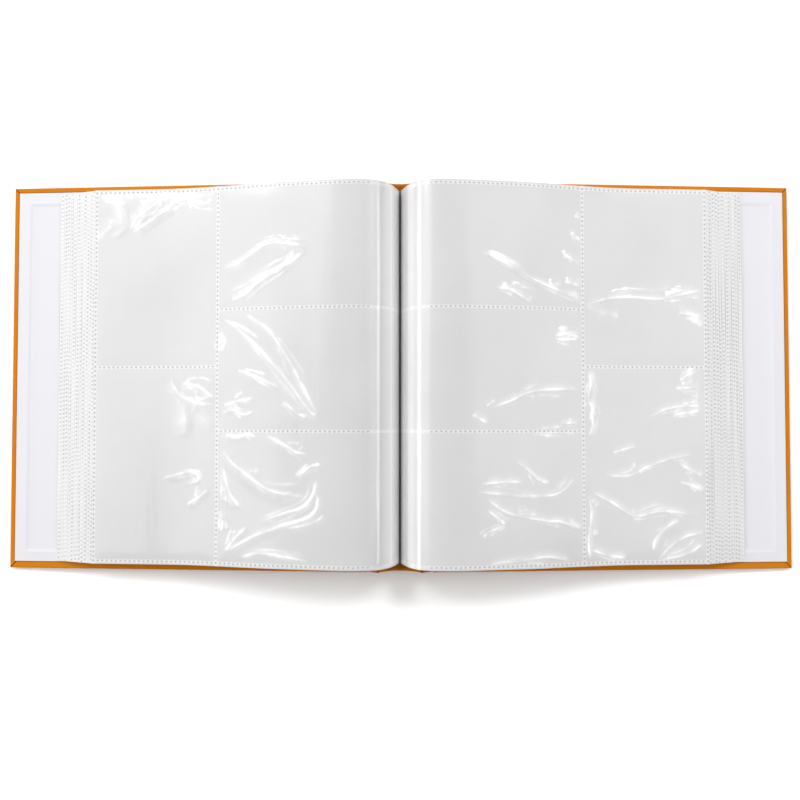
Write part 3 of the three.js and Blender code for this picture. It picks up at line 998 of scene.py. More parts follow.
class FilmRelief:
    """Height and painted highlights of the creases over a grid on the top leaf."""

    PATH_PARTS = 7
    # Shares of a crease's width
    REACH, STEEP_FLANK, SLOW_FLANK = 3.7, 0.95, 3.6
    SHORTEST_CRINKLE = 4
    # Painted highlights: a line on a sharp crease, a fainter one on a soft fold, and a wedge on each flank
    LINE_WIDTH, LINE_WHITE, SOFT_WHITE = 0.75 * MM, 1.35, 0.1
    WEDGE_REACH, STEEP_WEDGE, SLOW_WEDGE = 3.4, 0.14, 0.48

    def __init__(self, line: LeafLine, side: Side, grid: PageGrid) -> None:
        """Starts with a flat film over a grid on one side's leaf."""
        self.line = line
        self.side = side
        self.grid = grid
        self.layers = np.zeros((*grid.row.shape, 2))

    def add(self, crease: Crease, random: np.random.Generator) -> None:
        """Adds a crease and the lesser crinkles that run beside it.

        Args:
            crease: The crease.
            random: What places the crinkles.
        """
        spine = smooth_path(VIEW.on_leaf(self.line, self.side, crease.path), self.PATH_PARTS)
        self._raise_along(crease, spine, 1.0)
        run = np.gradient(spine, axis=0)
        run /= np.linalg.norm(run, axis=1, keepdims=True) + 1e-12
        beside = square_off(run)
        for way in (-1, 1, -1, 1):
            low, high = sorted(random.integers(0, len(spine), 2))
            if high - low < self.SHORTEST_CRINKLE:
                continue
            fan = np.linspace(0.6, random.uniform(1.0, 2.2), high - low)[:, None]
            away = way * random.uniform(0.8, 2.3) * crease.width * fan
            path = spine[low:high] + beside[low:high] * away
            self._raise_along(crease, path, random.uniform(0.3, 0.6))

    def _raise_along(self, crease: Crease, spine: np.ndarray, strength: float) -> None:
        """Adds a ridge and its painted highlight.

        Args:
            crease: The crease that it belongs to.
            spine: The ridge's line, as rows of distance from the binding edge and from the head.
            strength: Its share of the crease's height.
        """
        width = crease.width
        low, high = spine.min(axis=0) - self.REACH * width, spine.max(axis=0) + self.REACH * width
        i0, i1 = np.searchsorted(self.grid.stations, [low[0], high[0]])
        j0, j1 = np.searchsorted(self.grid.rows, [low[1], high[1]])
        if i1 - i0 < 2 or j1 - j0 < 2:
            return
        start, step = spine[:-1], np.diff(spine, axis=0)
        spots = np.stack([self.grid.distance[i0:i1, j0:j1], self.grid.row[i0:i1, j0:j1]], axis=-1)
        away = spots[..., None, :] - start
        share = np.clip((away * step).sum(-1) / (step**2).sum(-1), 0, 1)
        gap = np.linalg.norm(away - share[..., None] * step, axis=-1)
        beside = step[:, 0] * away[..., 1] - step[:, 1] * away[..., 0]
        nearest = gap.argmin(axis=-1)[..., None]
        gap = np.take_along_axis(gap, nearest, axis=-1)[..., 0]
        steep = np.take_along_axis(beside, nearest, axis=-1)[..., 0] > 0
        share = (np.take_along_axis(share, nearest, axis=-1) + nearest)[..., 0] / len(step)
        taper = np.clip(np.sin(np.pi * np.clip(share, 0, 1)) * 2.2, 0, 1) ** 0.8
        # Painted highlight along the ridge, kept in the second layer beside the height
        if crease.fold is Fold.SHARP:
            flank = np.where(steep, self.STEEP_FLANK * width, self.SLOW_FLANK * width)
            shape = np.clip(1 - gap / flank, 0, 1) ** 1.4
            white = self.LINE_WHITE * np.exp(-((gap / self.LINE_WIDTH) ** 2))
        else:
            shape = np.exp(-((gap / width) ** 2))
            white = self.SOFT_WHITE * shape
        wedge = np.clip(1 - gap / (self.WEDGE_REACH * width), 0, 1) ** 1.5
        white += np.where(steep, self.STEEP_WEDGE, self.SLOW_WEDGE) * wedge
        uneven = 0.72 + 0.28 * np.sin(11.0 * share + 90.0 * spine[0, 0] / width)
        part = self.layers[i0:i1, j0:j1]
        part[..., 0] += crease.height * strength * taper * shape
        part[..., 1] = np.maximum(part[..., 1], taper * uneven * strength * white)


def smooth_path(corners: np.ndarray, parts: int) -> np.ndarray:
    """A path through its corners, rounded between them.

    Args:
        corners: The corners, two or more.
        parts: Points from one corner to the next.

    Returns:
        The path's points.
    """
    if len(corners) < 3:
        share = np.linspace(0, 1, parts + 1)[:, None]
        return corners[0] + (corners[-1] - corners[0]) * share
    padded = np.vstack([2 * corners[0] - corners[1], corners, 2 * corners[-1] - corners[-2]])
    t = np.linspace(0, 1, parts, endpoint=False)[:, None]
    pieces = []
    for a, b, c, d in zip(padded, padded[1:], padded[2:], padded[3:]):
        bend = (2 * a - 5 * b + 4 * c - d) * t**2 + (3 * b - a - 3 * c + d) * t**3
        pieces.append(0.5 * (2 * b + (c - a) * t + bend))
    return np.vstack([*pieces, corners[-1:]])


def sharp(*path: tuple[float, float], wide: float = 2.0, high: float = 0.45) -> Crease:
    """A sharp crease through picture points, its half width and height in millimetres."""
    return Crease(path, wide * MM, high * MM)


def soft(*path: tuple[float, float], wide: float = 5.0, high: float = 0.35) -> Crease:
    """A soft fold through picture points, its half width and height in millimetres."""
    return Crease(path, wide * MM, high * MM, Fold.SOFT)


LEFT_CREASES = (
    # Upper landscape pocket
    sharp((224, 268), (241, 261), (266, 244), (287, 243), (307, 246), wide=2.4, high=0.5),
    sharp((307, 250), (293, 261), (275, 273), (260, 282), (247, 293), (232, 301), high=0.55),
    sharp((296, 250), (287, 264), (266, 278), (252, 287), (234, 299), high=0.4),
    # Middle landscape pocket
    sharp((224, 319), (246, 336), (266, 356), (287, 380), (310, 411), (318, 414), high=0.5),
    sharp((246, 315), (266, 327), (279, 344), (293, 367), (310, 400), (318, 414), high=0.45),
    sharp((238, 370), (256, 377), (279, 387), high=0.35),
    sharp((222, 331), (225, 342), (223, 353), high=0.5),
    sharp((224, 405), (237, 401), (253, 398), wide=1.8, high=0.35),
    sharp((223, 412), (234, 410), (243, 414), (252, 412), wide=1.6),
    sharp((284, 401), (296, 412), (307, 417), wide=1.8, high=0.35),
    # Lower landscape pocket
    sharp((227, 434), (238, 437), (247, 434), (256, 437), wide=1.6, high=0.4),
    sharp((266, 435), (287, 446), (296, 452), (307, 454), high=0.4),
    sharp((223, 450), (234, 464), (249, 476), (264, 487), (279, 493), (305, 496), wide=3, high=0.55),
    sharp((223, 467), (230, 492), (241, 508), wide=2.4, high=0.4),
    sharp((260, 521), (279, 515), (302, 507), (313, 495), (316, 481)),
    sharp((296, 477), (310, 467), (321, 464), wide=1.8, high=0.35),
    sharp((226, 551), (252, 537), (279, 527), (310, 516), (318, 501), (315, 490), high=0.5),
    sharp((226, 550), (236, 537), (246, 527), wide=1.8, high=0.4),
    sharp((241, 557), (260, 553), (287, 557), (307, 561), wide=1.8, high=0.35),
    sharp((221, 510), (223, 521), (221, 533), high=0.5),
    # Upper portrait pocket
    sharp((130, 230), (137, 218), (147, 210), (162, 200), (176, 195), wide=3.2, high=0.5),
    sharp((133, 232), (148, 223), (162, 213), (173, 204), (177, 197), wide=2.4, high=0.5),
    soft((98, 206), (116, 204), (122, 221), (116, 227), (105, 233), (98, 242), wide=3.2),
    sharp((192, 210), (192, 201), (203, 203), (212, 201), high=0.4),
    # Lower portrait pocket
    sharp((171, 380), (176, 389), (183, 397), (197, 403), (214, 404), wide=3, high=0.5),
    sharp((183, 383), (199, 387), (214, 398), wide=3, high=0.4),
    soft((184, 400), (186, 421), (184, 437), high=0.5),
    sharp((163, 478), (179, 474), (191, 472), (199, 476), (196, 482), (186, 485), wide=1.8),
    sharp((188, 504), (199, 497), (208, 490), wide=1.8, high=0.35),
)

RIGHT_CREASES = (
    # Upper landscape pocket
    sharp((478, 250), (513, 267), (533, 279), (555, 289), (577, 299), high=0.5),
    sharp((496, 287), (510, 290), (521, 296), (530, 302), wide=2.6),
    sharp((574, 216), (580, 218), wide=1.5, high=0.4),
    sharp((570, 232), (580, 241), wide=1.6, high=0.4),
    sharp((561, 252), (579, 265), wide=1.6, high=0.35),
    sharp((564, 281), (579, 286), wide=1.6, high=0.35),
    # Middle landscape pocket
    sharp((554, 336), (564, 334), (579, 337), wide=1.8),
    sharp((554, 338), (564, 340), (577, 339), wide=1.8),
    sharp((487, 409), (510, 401), (527, 393), (545, 390), (576, 389)),
    sharp((472, 414), (487, 423), wide=1.8, high=0.3),
    sharp((559, 423), (577, 423), wide=1.5, high=0.35),
    # Lower landscape pocket
    sharp((533, 432), (553, 432), (574, 433), wide=1.6, high=0.35),
    sharp((481, 484), (502, 482), (522, 482), high=0.4),
    sharp((515, 461), (527, 469), (536, 478), (548, 484), wide=1.6, high=0.4),
    sharp((478, 492), (499, 494), (518, 496), (536, 496), (553, 495), (565, 489), (573, 479)),
    sharp((487, 499), (502, 510), (518, 516), (548, 521), (562, 522), (579, 530), high=0.5),
    sharp((487, 510), (499, 519), (505, 525), wide=1.8, high=0.4),
    sharp((505, 525), (487, 533), (484, 538), wide=1.8, high=0.35),
    sharp((490, 564), (518, 561), (548, 557), (571, 561), wide=1.8, high=0.35),
    # Upper portrait pocket
    sharp((585, 305), (607, 299), (630, 297), (659, 299), (679, 295), (701, 290), wide=2.4, high=0.5),
    sharp((678, 313), (687, 314), (701, 316), wide=1.8, high=0.35),
    sharp((685, 317), (693, 320), (701, 327), wide=1.8, high=0.35),
    soft((586, 307), (600, 313), (618, 316), wide=3, high=0.3),
    # Lower portrait pocket
    sharp((588, 371), (590, 384), (588, 398), (592, 410), (589, 421), wide=1.8, high=0.6),
    sharp((590, 410), (592, 424), (589, 436), wide=1.6, high=0.5),
    sharp((588, 495), (591, 515), (588, 540), (590, 560), wide=1.6, high=0.5),
    sharp((675, 388), (687, 388), (699, 387), wide=2.2, high=0.5),
    sharp((679, 381), (687, 375), (696, 372), wide=1.6, high=0.35),
    sharp((649, 417), (666, 409), (684, 406), (699, 406), high=0.4),
    sharp((672, 415), (699, 411), wide=1.8, high=0.35),
    sharp((612, 453), (635, 446), wide=1.8, high=0.35),
    sharp((604, 475), (626, 476), (638, 472), (649, 466), (672, 458), (691, 455)),
    sharp((675, 461), (690, 470), (702, 476), wide=1.8, high=0.35),
    sharp((679, 482), (693, 486), (702, 493), wide=1.8, high=0.35),
    sharp((592, 492), (611, 502), (626, 512), (638, 516), (664, 511), (701, 516), high=0.5),
    sharp((678, 519), (666, 527), (655, 539), (653, 551), wide=1.8, high=0.35),
    sharp((658, 559), (672, 545), (687, 536), (702, 533), wide=1.8, high=0.4),
    sharp((659, 560), (687, 554), (702, 544), wide=1.8, high=0.35),
    sharp((591, 550), (608, 555), (626, 558), high=0.4),
)

CREASES = {Side.LEFT: LEFT_CREASES, Side.RIGHT: RIGHT_CREASES}


class LeafPile:
    """The twelve pocket leaves on one side of the open album."""

    DOT_PITCH, UNDER_PITCH = 4.0 * MM, 3.6 * MM
    DOT_RADIUS, UNDER_RADIUS = 0.75 * MM, 0.5 * MM
    DOT_SIDES = 6
    DOT_RISE = 0.09 * MM
    DOT_LIFT = 0.05 * MM
    FINE = 1.0 * MM
    WELD_HOLD = 1.6 * MM
    LEAST_FILM = 0.02 * MM
    FILM_SHARP = math.radians(60)
    RISE_STATIONS, FALL_STATIONS, PLAIN_ROWS = 14, 16, 34
    HUMP_PLACE, HUMP_REACH, HUMP_HEIGHT = 34 * MM, 11 * MM, 0.35 * MM
    STEP_REACH = 3.5 * MM
    MESH_SHARE = 0.3
    FALL = 90 * MM
    BEND_PAST_CREST = 30 * MM
    # How far each leaf under the top one stands out, in millimetres, from the cover up
    EDGE_SHIFTS = (0.3, -0.4, 0.1, -0.6, 0.3, -0.2, -0.5, 0.1, -0.1, -0.4, 0.0)
    # Millimetres from the head where the film's fullness beside the gutter changes, and by how much
    GUTTER_STEPS = {
        Side.LEFT: ((78, 0.9), (212, -0.9), (272, 0.9)),
        Side.RIGHT: ((96, 0.4), (190, -0.6)),
    }

    def __init__(self, side: Side, sizes: AlbumSizes, materials: Materials) -> None:
        """Takes one side of the album."""
        self.side = side
        self.sizes = sizes
        self.materials = materials
        self.random = np.random.default_rng(20 + side.value)

    def build(self) -> None:
        """Makes every leaf and its weld dots."""
        for number in range(1, self.sizes.leaves):
            self._plain_leaf(number)
        self._top_leaf()

    def _name(self, number: int) -> str:
        """The name of a leaf's solid."""
        return f"{self.side.word}_leaf_{number:02d}"

    def _world(self, spot: np.ndarray) -> tuple[float, float, float]:
        """A point of a leaf's line on this side, at the middle of the page."""
        return (self.side.value * float(spot[0]), 0.0, float(spot[1]))

    def _page_place(self, distance: np.ndarray, row: np.ndarray) -> np.ndarray:
        """The UV of places on a leaf, 1 being its fore-edge and its tail."""
        return np.stack([distance / self.sizes.leaf_length, row / self.sizes.page_height], axis=-1)

    def _plain_leaf(self, number: int) -> None:
        """A leaf under the top one: a closed sheet with a slightly uneven fore-edge.

        Args:
            number: The leaf, 1 being the one on the cover.
        """
        sizes, name = self.sizes, self._name(number)
        level = (number - 1) / (sizes.leaves - 1)
        line = LeafLine(sizes, level)
        slip, crest = sizes.slip(level), line.crest_arc
        end = sizes.leaf_length + slip
        rise = np.linspace(0, crest, self.RISE_STATIONS)
        fall = np.linspace(crest, crest + self.FALL, self.FALL_STATIONS)[1:]
        flat = np.linspace(crest + self.FALL, end, self.FALL_STATIONS)[1:]
        rows = np.linspace(0, sizes.page_height, self.PLAIN_ROWS)
        grid = PageGrid(np.concatenate([rise, fall, flat]), rows)
        phase = self.random.uniform(0, math.tau, 2)
        shift = self.EDGE_SHIFTS[number - 1] * MM

        def edge_share(place: np.ndarray) -> np.ndarray:
            """How much of the fore-edge's unevenness a place on the leaf takes."""
            return np.clip((place - crest) / (end - crest), 0, 1) ** 3

        def edge_slide(down: np.ndarray) -> np.ndarray:
            """How far the fore-edge stands out, by the distance from the head."""
            wave = 0.18 * np.sin(down / 0.052 + phase[0]) + 0.1 * np.sin(down / 0.019 + phase[1])
            return shift + wave * MM

        share = edge_share(grid.distance)
        reach = grid.distance + share * edge_slide(grid.row)
        ripple = share * 0.08 * MM * np.sin(grid.row / 0.03 + phase[1])
        half = sizes.leaf_thickness / 2
        upper, lower = (line.lift(reach, grid.row, ripple + way * half) for way in (1, -1))
        drop = self.random.uniform(-1.8, 1.8) * MM
        maker = MeshMaker(name + "_sheet", self.side)
        maker.add_sheet(upper, lower, self._page_place(grid.distance - slip, grid.row - drop))
        leaf = maker.build(self.materials.leaf)
        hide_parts(self._name(number))
        places = POCKETS.dots(self.UNDER_PITCH)
        places[:, 1] += np.where(places[:, 2] > 0, drop, 0.0)
        places[:, 0] += slip + edge_share(places[:, 0] + slip) * edge_slide(places[:, 1])
        finish = self.materials.pale_dot
        dots = self._dots(name + "_dots", line, places, half, self.DOT_RADIUS, finish)
        for piece in (leaf, dots):
            self._world(line.foot)
            self._world(line.crest)
            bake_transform(piece)

    def _dots(
        self,
        name: str,
        line: LeafLine,
        places: np.ndarray,
        level: float,
        radius: float,
        material: bpy.types.Material,
    ) -> bpy.types.Object:
        """Weld dots as low closed lenses on a leaf's face.

        Args:
            name: The piece's name.
            line: The leaf's line.
            places: Distance, row and whether the weld runs lengthwise, for each dot.
            level: Height of the face over the leaf's middle; below nothing for its underside.
            radius: A dot's radius.
            material: The dots' finish.

        Returns:
            The piece.
        """
        sides = self.DOT_SIDES
        distance, row, lengthwise = places.T
        jitter = self.random.uniform(-0.25, 0.25, (2, len(row))) * MM
        distance = distance + jitter[0] * 0.4
        row = row + jitter[1]
        # A lens has the points of its rim, then its upper and its lower middle
        turn = np.arange(sides) * math.tau / sides
        along = np.append(np.cos(turn), [0.0, 0.0]) * (radius * np.where(lengthwise > 0, 0.8, 1.2))[:, None]
        down = np.append(np.sin(turn), [0.0, 0.0]) * (radius * np.where(lengthwise > 0, 1.2, 0.8))[:, None]
        rise = np.append(np.zeros(sides), [self.DOT_RISE, -self.DOT_RISE])
        height = np.broadcast_to(level + rise, along.shape)
        maker = MeshMaker(name, self.side)
        start = maker.add_points(line.lift(distance[:, None] + along, row[:, None] + down, height))
        for base in range(start, start + len(row) * (sides + 2), sides + 2):
            for k in range(sides):
                a, b = base + k, base + (k + 1) % sides
                maker.faces.append((b, a, base + sides))
                maker.faces.append((a, b, base + sides + 1))
        return maker.build(material)

    def _gutter_wave(self, grid: PageGrid) -> np.ndarray:
        """How the film beside the gutter stands fuller in some stretches of the page."""
        level = 0.15 * np.sin(grid.row / 0.021)
        for place, turn in self.GUTTER_STEPS[self.side]:
            level += turn * 0.5 * (1 + np.tanh((grid.row - place * MM) / self.STEP_REACH))
        hump = np.exp(-(((grid.distance - self.HUMP_PLACE) / self.HUMP_REACH) ** 2))
        return self.HUMP_HEIGHT * hump * level

    def _film_height(self, line: LeafLine, grid: PageGrid) -> tuple[np.ndarray, np.ndarray]:
        """How high the top leaf's film stands.

        Args:
            line: The leaf's line.
            grid: Places on the leaf.

        Returns:
            The heights over the leaf's middle surface, and the creases' height and painted highlight.
        """
        relief = FilmRelief(line, self.side, grid)
        random = np.random.default_rng(5)
        for crease in CREASES[self.side]:
            relief.add(crease, random)
        held = np.clip(POCKETS.nearest_weld(grid) / self.WELD_HOLD, 0, 1)
        creases = relief.layers * held[..., None]
        film = POCKETS.swell(grid) + self._gutter_wave(grid) * held
        film = film + self.MESH_SHARE * creases[..., 0]
        return self.sizes.leaf_thickness / 2 + np.maximum(film, self.LEAST_FILM), creases

    def _fine_sheet(self, name: str, line: LeafLine, start: float, end: float) -> bpy.types.Object:
        """A stretch of the top leaf with its film, pockets and creases.

        Args:
            name: The piece's name.
            line: The leaf's line.
            start: Where the stretch starts, from the binding edge.
            end: Where it ends.

        Returns:
            The piece.
        """
        sizes, half = self.sizes, self.sizes.leaf_thickness / 2
        stations = spaced(start, end, self.FINE, POCKETS.lengthwise)
        rows = spaced(0.0, sizes.page_height, self.FINE, [*POCKETS.inner_rows, *POCKETS.outer_rows])
        grid = PageGrid(stations, rows)
        height, creases = self._film_height(line, grid)
        height[[0, -1]] = half
        if start > 0 or end < sizes.leaf_length:
            inner = 0 if start > 0 else -1
            height[inner] = self._film_height(line, PageGrid(stations[[inner]], rows))[0][0]
        height[:, [0, -1]] = half
        under = PageGrid(stations, rows[[0, -1]])
        upper = line.lift(grid.distance, grid.row, height)
        lower = line.lift(under.distance, under.row, -half)
        maker = MeshMaker(name, self.side)
        maker.add_sheet(upper, lower, self._page_place(grid.distance, grid.row))
        log.info("%s: %d stations by %d rows", name, len(stations), len(rows))
        sheet = maker.build(self.materials.film, sharp=self.FILM_SHARP)
        # The Relief layer keeps each upper point's crease height in millimetres and its painted highlight
        level = np.zeros((len(sheet.data.vertices), 2))
        level[: height.size] = creases.reshape(-1, 2) / (MM, 1.0)
        add_corner_layer(sheet.data, RELIEF, level)
        return sheet

    def _top_leaf(self) -> None:
        """The leaf that shows: one sheet on the right, and two on the left, split at its crest."""
        sizes, materials = self.sizes, self.materials
        line = LeafLine(sizes, 1.0)
        name = self._name(sizes.leaves)
        half = sizes.leaf_thickness / 2
        places = POCKETS.dots(self.DOT_PITCH)
        foot, crest = self._world(line.foot), self._world(line.crest)
        stretches = [(name, 0.0, sizes.leaf_length, ("spine", name, foot, crest))]
        if self.side is Side.LEFT:
            gutter_name, fold = name + "_gutter", line.crest_arc
            past = self._world(line.at(np.array(fold + self.BEND_PAST_CREST))[0])
            stretches = [
                (gutter_name, 0.0, fold, ("spine", gutter_name, foot, crest)),
                (name, fold, sizes.leaf_length, (gutter_name, name, crest, past)),
            ]
        for node, start, end, bend in stretches:
            sheet = self._fine_sheet(node + "_sheet", line, start, end)
            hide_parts(node)
            within = places[(places[:, 0] >= start) & (places[:, 0] < end)]
            level, radius = half + self.DOT_LIFT, self.DOT_RADIUS
            pieces = [sheet, self._dots(node + "_dots", line, within, level, radius, materials.dot)]
            if self.side is Side.LEFT:
                finish = materials.pale_dot
                under = self._dots(node + "_under_dots", line, within, -half, self.UNDER_RADIUS, finish)
                pieces.append(under)
            for piece in pieces:
                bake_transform(piece)


def spaced(start: float, end: float, step: float, marks: Iterable[float]) -> np.ndarray:
    """Even values, with marks among them exactly.

    Args:
        start: The first value.
        end: The last value.
        step: Most between two values.
        marks: Values to keep, where they lie between the first and the last.

    Returns:
        The values, rising.
    """
    stops = sorted({start, end, *(mark for mark in marks if start < mark < end)})
    spans = []
    for low, high in zip(stops, stops[1:]):
        parts = max(1, math.ceil((high - low) / step))
        spans.append(np.linspace(low, high, parts, endpoint=False))
    return np.concatenate([*spans, [end]])


class Case:
    """The cloth case: two covers, their joints and the spine."""

    BEND_RADIUS = 0.9 * MM
    CORNER_ROOM = 24 * MM
    SIDE_STATIONS = 9
    MITRE_PULL = 0.3 * MM
    MITRE_DEPTH = 0.38 * MM
    UNSHADED = 9.0
    ROUND_OFF = 0.25 * MM
    PAPER_BELOW_HEAD = 2 * MM
    PAPER_SHARP = math.radians(50)
    HEM_SIDES, SPINE_STATIONS = 6, 37
    JOINT_START, JOINT_END = -0.6 * MM, 6.5 * MM

    def __init__(self, sizes: AlbumSizes, materials: Materials) -> None:
        """Takes the album's sizes and finishes."""
        self.sizes = sizes
        self.materials = materials

    def build(self) -> None:
        """Makes the case's cloth and paper, and gives the boards and the lining their finishes."""
        for side in Side:
            self._cover_cloth(side)
            self._endpaper(side)
            self._joint(side)
            self._paint(f"{side.word}_board", self.materials.greyboard)
        self._spine_cloth()
        self._paint("spine_strip", self.materials.greyboard)
        self._paint("back_lining", self.materials.lining)

    def _paint(self, node: str, material: bpy.types.Material) -> None:
        """Gives a solid its finish.

        Args:
            node: The solid's name.
            material: The finish.
        """
        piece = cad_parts[node]
        piece.data.materials.clear()
        piece.data.materials.append(material)

    def _rim_profile(self) -> tuple[np.ndarray, np.ndarray, np.ndarray, int]:
        """The cloth round a board's edge, from its outside over the edge to its inside and back.

        Returns:
            Inward distances, heights, 1 where the cloth lies on top, and how many of the first
            points lie on the outside.
        """
        sizes, radius = self.sizes, self.BEND_RADIUS
        bottom, top = sizes.cover_bottom, sizes.turn_in_top
        deep, pressed = sizes.turn_in + 2 * MM, top - 0.04 * MM
        turn = np.linspace(0, math.pi / 2, 7)
        low_arc = [(radius - radius * math.sin(t), bottom + radius - radius * math.cos(t)) for t in turn]
        high_arc = [(radius - radius * math.cos(t), top - radius + radius * math.sin(t)) for t in turn]
        outside = [(deep, bottom), (6 * MM, bottom), *low_arc]
        turned = [
            *high_arc,
            (2.2 * MM, top),
            (4.3 * MM, pressed),
            (7.0 * MM, pressed),
            (sizes.turn_in - 0.2 * MM, pressed),
            (sizes.turn_in, top - 0.25 * MM),
        ]
        inside = [
            (sizes.turn_in, top - sizes.cloth),
            (sizes.cloth, top - sizes.cloth),
            (sizes.cloth, bottom + sizes.cloth),
            (deep, bottom + sizes.cloth),
        ]
        depth, height = np.array([*outside, *turned, *inside]).T
        on_top = np.zeros(len(depth))
        on_top[len(outside) + 2 : len(outside) + len(turned)] = 1.0
        return depth, height, on_top, len(outside)

    def _cover_cloth(self, side: Side) -> None:
        """One cover's cloth, wrapped round three edges with folded mitres.

        Args:
            side: The cover's side.
        """
        sizes, room, parts = self.sizes, self.CORNER_ROOM, self.SIDE_STATIONS
        depth, height, on_top, outside = self._rim_profile()
        reach, half = sizes.reach, sizes.half_height
        pull = self.MITRE_PULL * np.exp(-depth / (0.7 * MM))
        slit = height - self.MITRE_DEPTH * on_top
        stations: list[tuple[np.ndarray, np.ndarray, np.ndarray]] = []

        def edge(along: np.ndarray, across: np.ndarray, level: np.ndarray = height) -> None:
            """Adds a ring of the wrapped cloth."""
            stations.append(tuple(np.broadcast_arrays(along, across, level)))

        for along in np.linspace(sizes.joint_width, reach - room, parts):
            edge(along, -half + depth)
        for end in (-1, 1):
            mitre = [(4 * MM, 0.0), (0.6 * MM, 0.0), (0.0, 0.0), (0.0, 0.6 * MM), (0.0, 4 * MM)]
            if end > 0:
                for across in np.linspace(-half + room, half - room, parts):
                    edge(reach - depth, across)
                mitre = [(b, a) for a, b in mitre]
            for back_along, back_across in mitre:
                diagonal = back_along == 0 and back_across == 0
                inset = pull if diagonal else pull * 0.4
                edge(
                    reach - depth - back_along - inset * (back_along == 0),
                    end * (half - depth - back_across - inset * (back_across == 0)),
                    slit if diagonal else height,
                )
        for along in np.linspace(reach - room, sizes.joint_width, parts):
            edge(along, half - depth)
        along, across, off = (np.array(part) for part in zip(*stations))
        # UV for the cloth's painted shade: a painted shadow beside the endpaper's edge and painted shade
        # along the mitres
        place = self._past_paper(along, across)
        place[:, :outside] = self.UNSHADED  # the border's shade is for the inside alone
        maker = MeshMaker(f"{side.word}_cover_cloth_wrap", side)
        start = maker.add_points(sizes.on_cover(along, across, off), place)
        count, ring = len(stations), len(depth)
        maker.add_rings(start, count, ring, closed=False)
        under = range(start, start + count * ring, ring)
        over = range(start + ring - 1, start + count * ring, ring)
        maker.faces.append(tuple(under))
        maker.faces.append(tuple(reversed(over)))
        maker.faces.append((over[0], over[-1], under[-1], under[0]))
        cloth = maker.build(self.materials.edged_cloth)
        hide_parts(f"{side.word}_cover_cloth")
        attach(cloth, f"{side.word}_cover")

    def _past_paper(self, along: np.ndarray, across: np.ndarray) -> np.ndarray:
        """Where points of a cover lie beside the endpaper and the mitres, which sets the cloth's painted
        shade there.

        Args:
            along: Distances from the hinge line.
            across: Distances along the spine, from its middle to the head.

        Returns:
            Distance past the endpaper's edge and distance from a mitre, in millimetres.
        """
        sizes = self.sizes
        fore = along - (sizes.reach - sizes.cloth_border)
        head = across - (sizes.half_height - sizes.cloth_border)
        tail = -across - (sizes.half_height - sizes.tail_border)
        from_corner = np.abs((sizes.reach - along) - (sizes.half_height - np.abs(across)))
        past = np.max([fore, head, tail], axis=0)
        return np.stack([past, from_corner / math.sqrt(2)], axis=-1) / MM

    def _endpaper(self, side: Side) -> None:
        """The paper pasted down inside a cover, with the turned-in cloth showing through as a step.

        Args:
            side: The cover's side.
        """
        sizes = self.sizes
        head = sizes.half_height - sizes.cloth_border
        tail = sizes.half_height - sizes.tail_border
        edge_along = sizes.reach - sizes.turn_in
        edge_across = sizes.half_height - sizes.turn_in
        fore_steps = [edge_along + (k - 2) * MM for k in range(6)]
        end_steps = [way * (edge_across + (k - 3) * MM) for way in (-1, 1) for k in range(6)]
        along = spaced(sizes.joint_width, sizes.reach - sizes.cloth_border, 9 * MM, fore_steps)
        across = spaced(-tail, head, 12 * MM, end_steps)
        grid_along, grid_across = np.meshgrid(along, across[::-1], indexing="ij")
        inside = np.maximum(grid_along - edge_along, np.abs(grid_across) - edge_across)
        step = np.clip((inside + 2.2 * MM) / (2.6 * MM), 0, 1)
        step = step * step * (3 - 2 * step)
        ridge = 0.2 * MM * np.exp(-(((inside - 0.6 * MM) / (0.7 * MM)) ** 2))
        top = sizes.paper_top - sizes.cloth + sizes.cloth * step + ridge * (step > 0)
        maker = MeshMaker(f"{side.word}_endpaper_sheet", side)
        maker.add_sheet(
            sizes.on_cover(grid_along, grid_across, top),
            sizes.on_cover(grid_along, grid_across, top - sizes.paper),
        )
        paper = maker.build(self.materials.endpaper, sharp=self.PAPER_SHARP)
        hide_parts(f"{side.word}_endpaper")
        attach(paper, f"{side.word}_cover")

    def _strip(self, maker: MeshMaker, line: np.ndarray, thickness: float, half: float) -> None:
        """Draws a flexible strip of even thickness.

        Args:
            maker: The piece.
            line: Points of its middle in X and Z.
            thickness: How thick it is.
            half: Half its length along the spine.
        """
        run = np.gradient(line, axis=0)
        run /= np.linalg.norm(run, axis=1, keepdims=True)
        across = np.array([half, half - self.ROUND_OFF, 0.0, -half + self.ROUND_OFF, -half])
        round_off = np.array([0.3, 1.0, 1.0, 1.0, 0.3]) * thickness / 2
        away = square_off(run)[:, None, :] * round_off[None, :, None]
        across = np.broadcast_to(across, away.shape[:2])
        faces = []
        for way in (1, -1):
            place = line[:, None, :] + way * away
            faces.append(np.stack([place[..., 0], across, place[..., 1]], axis=-1))
        maker.add_sheet(*faces)

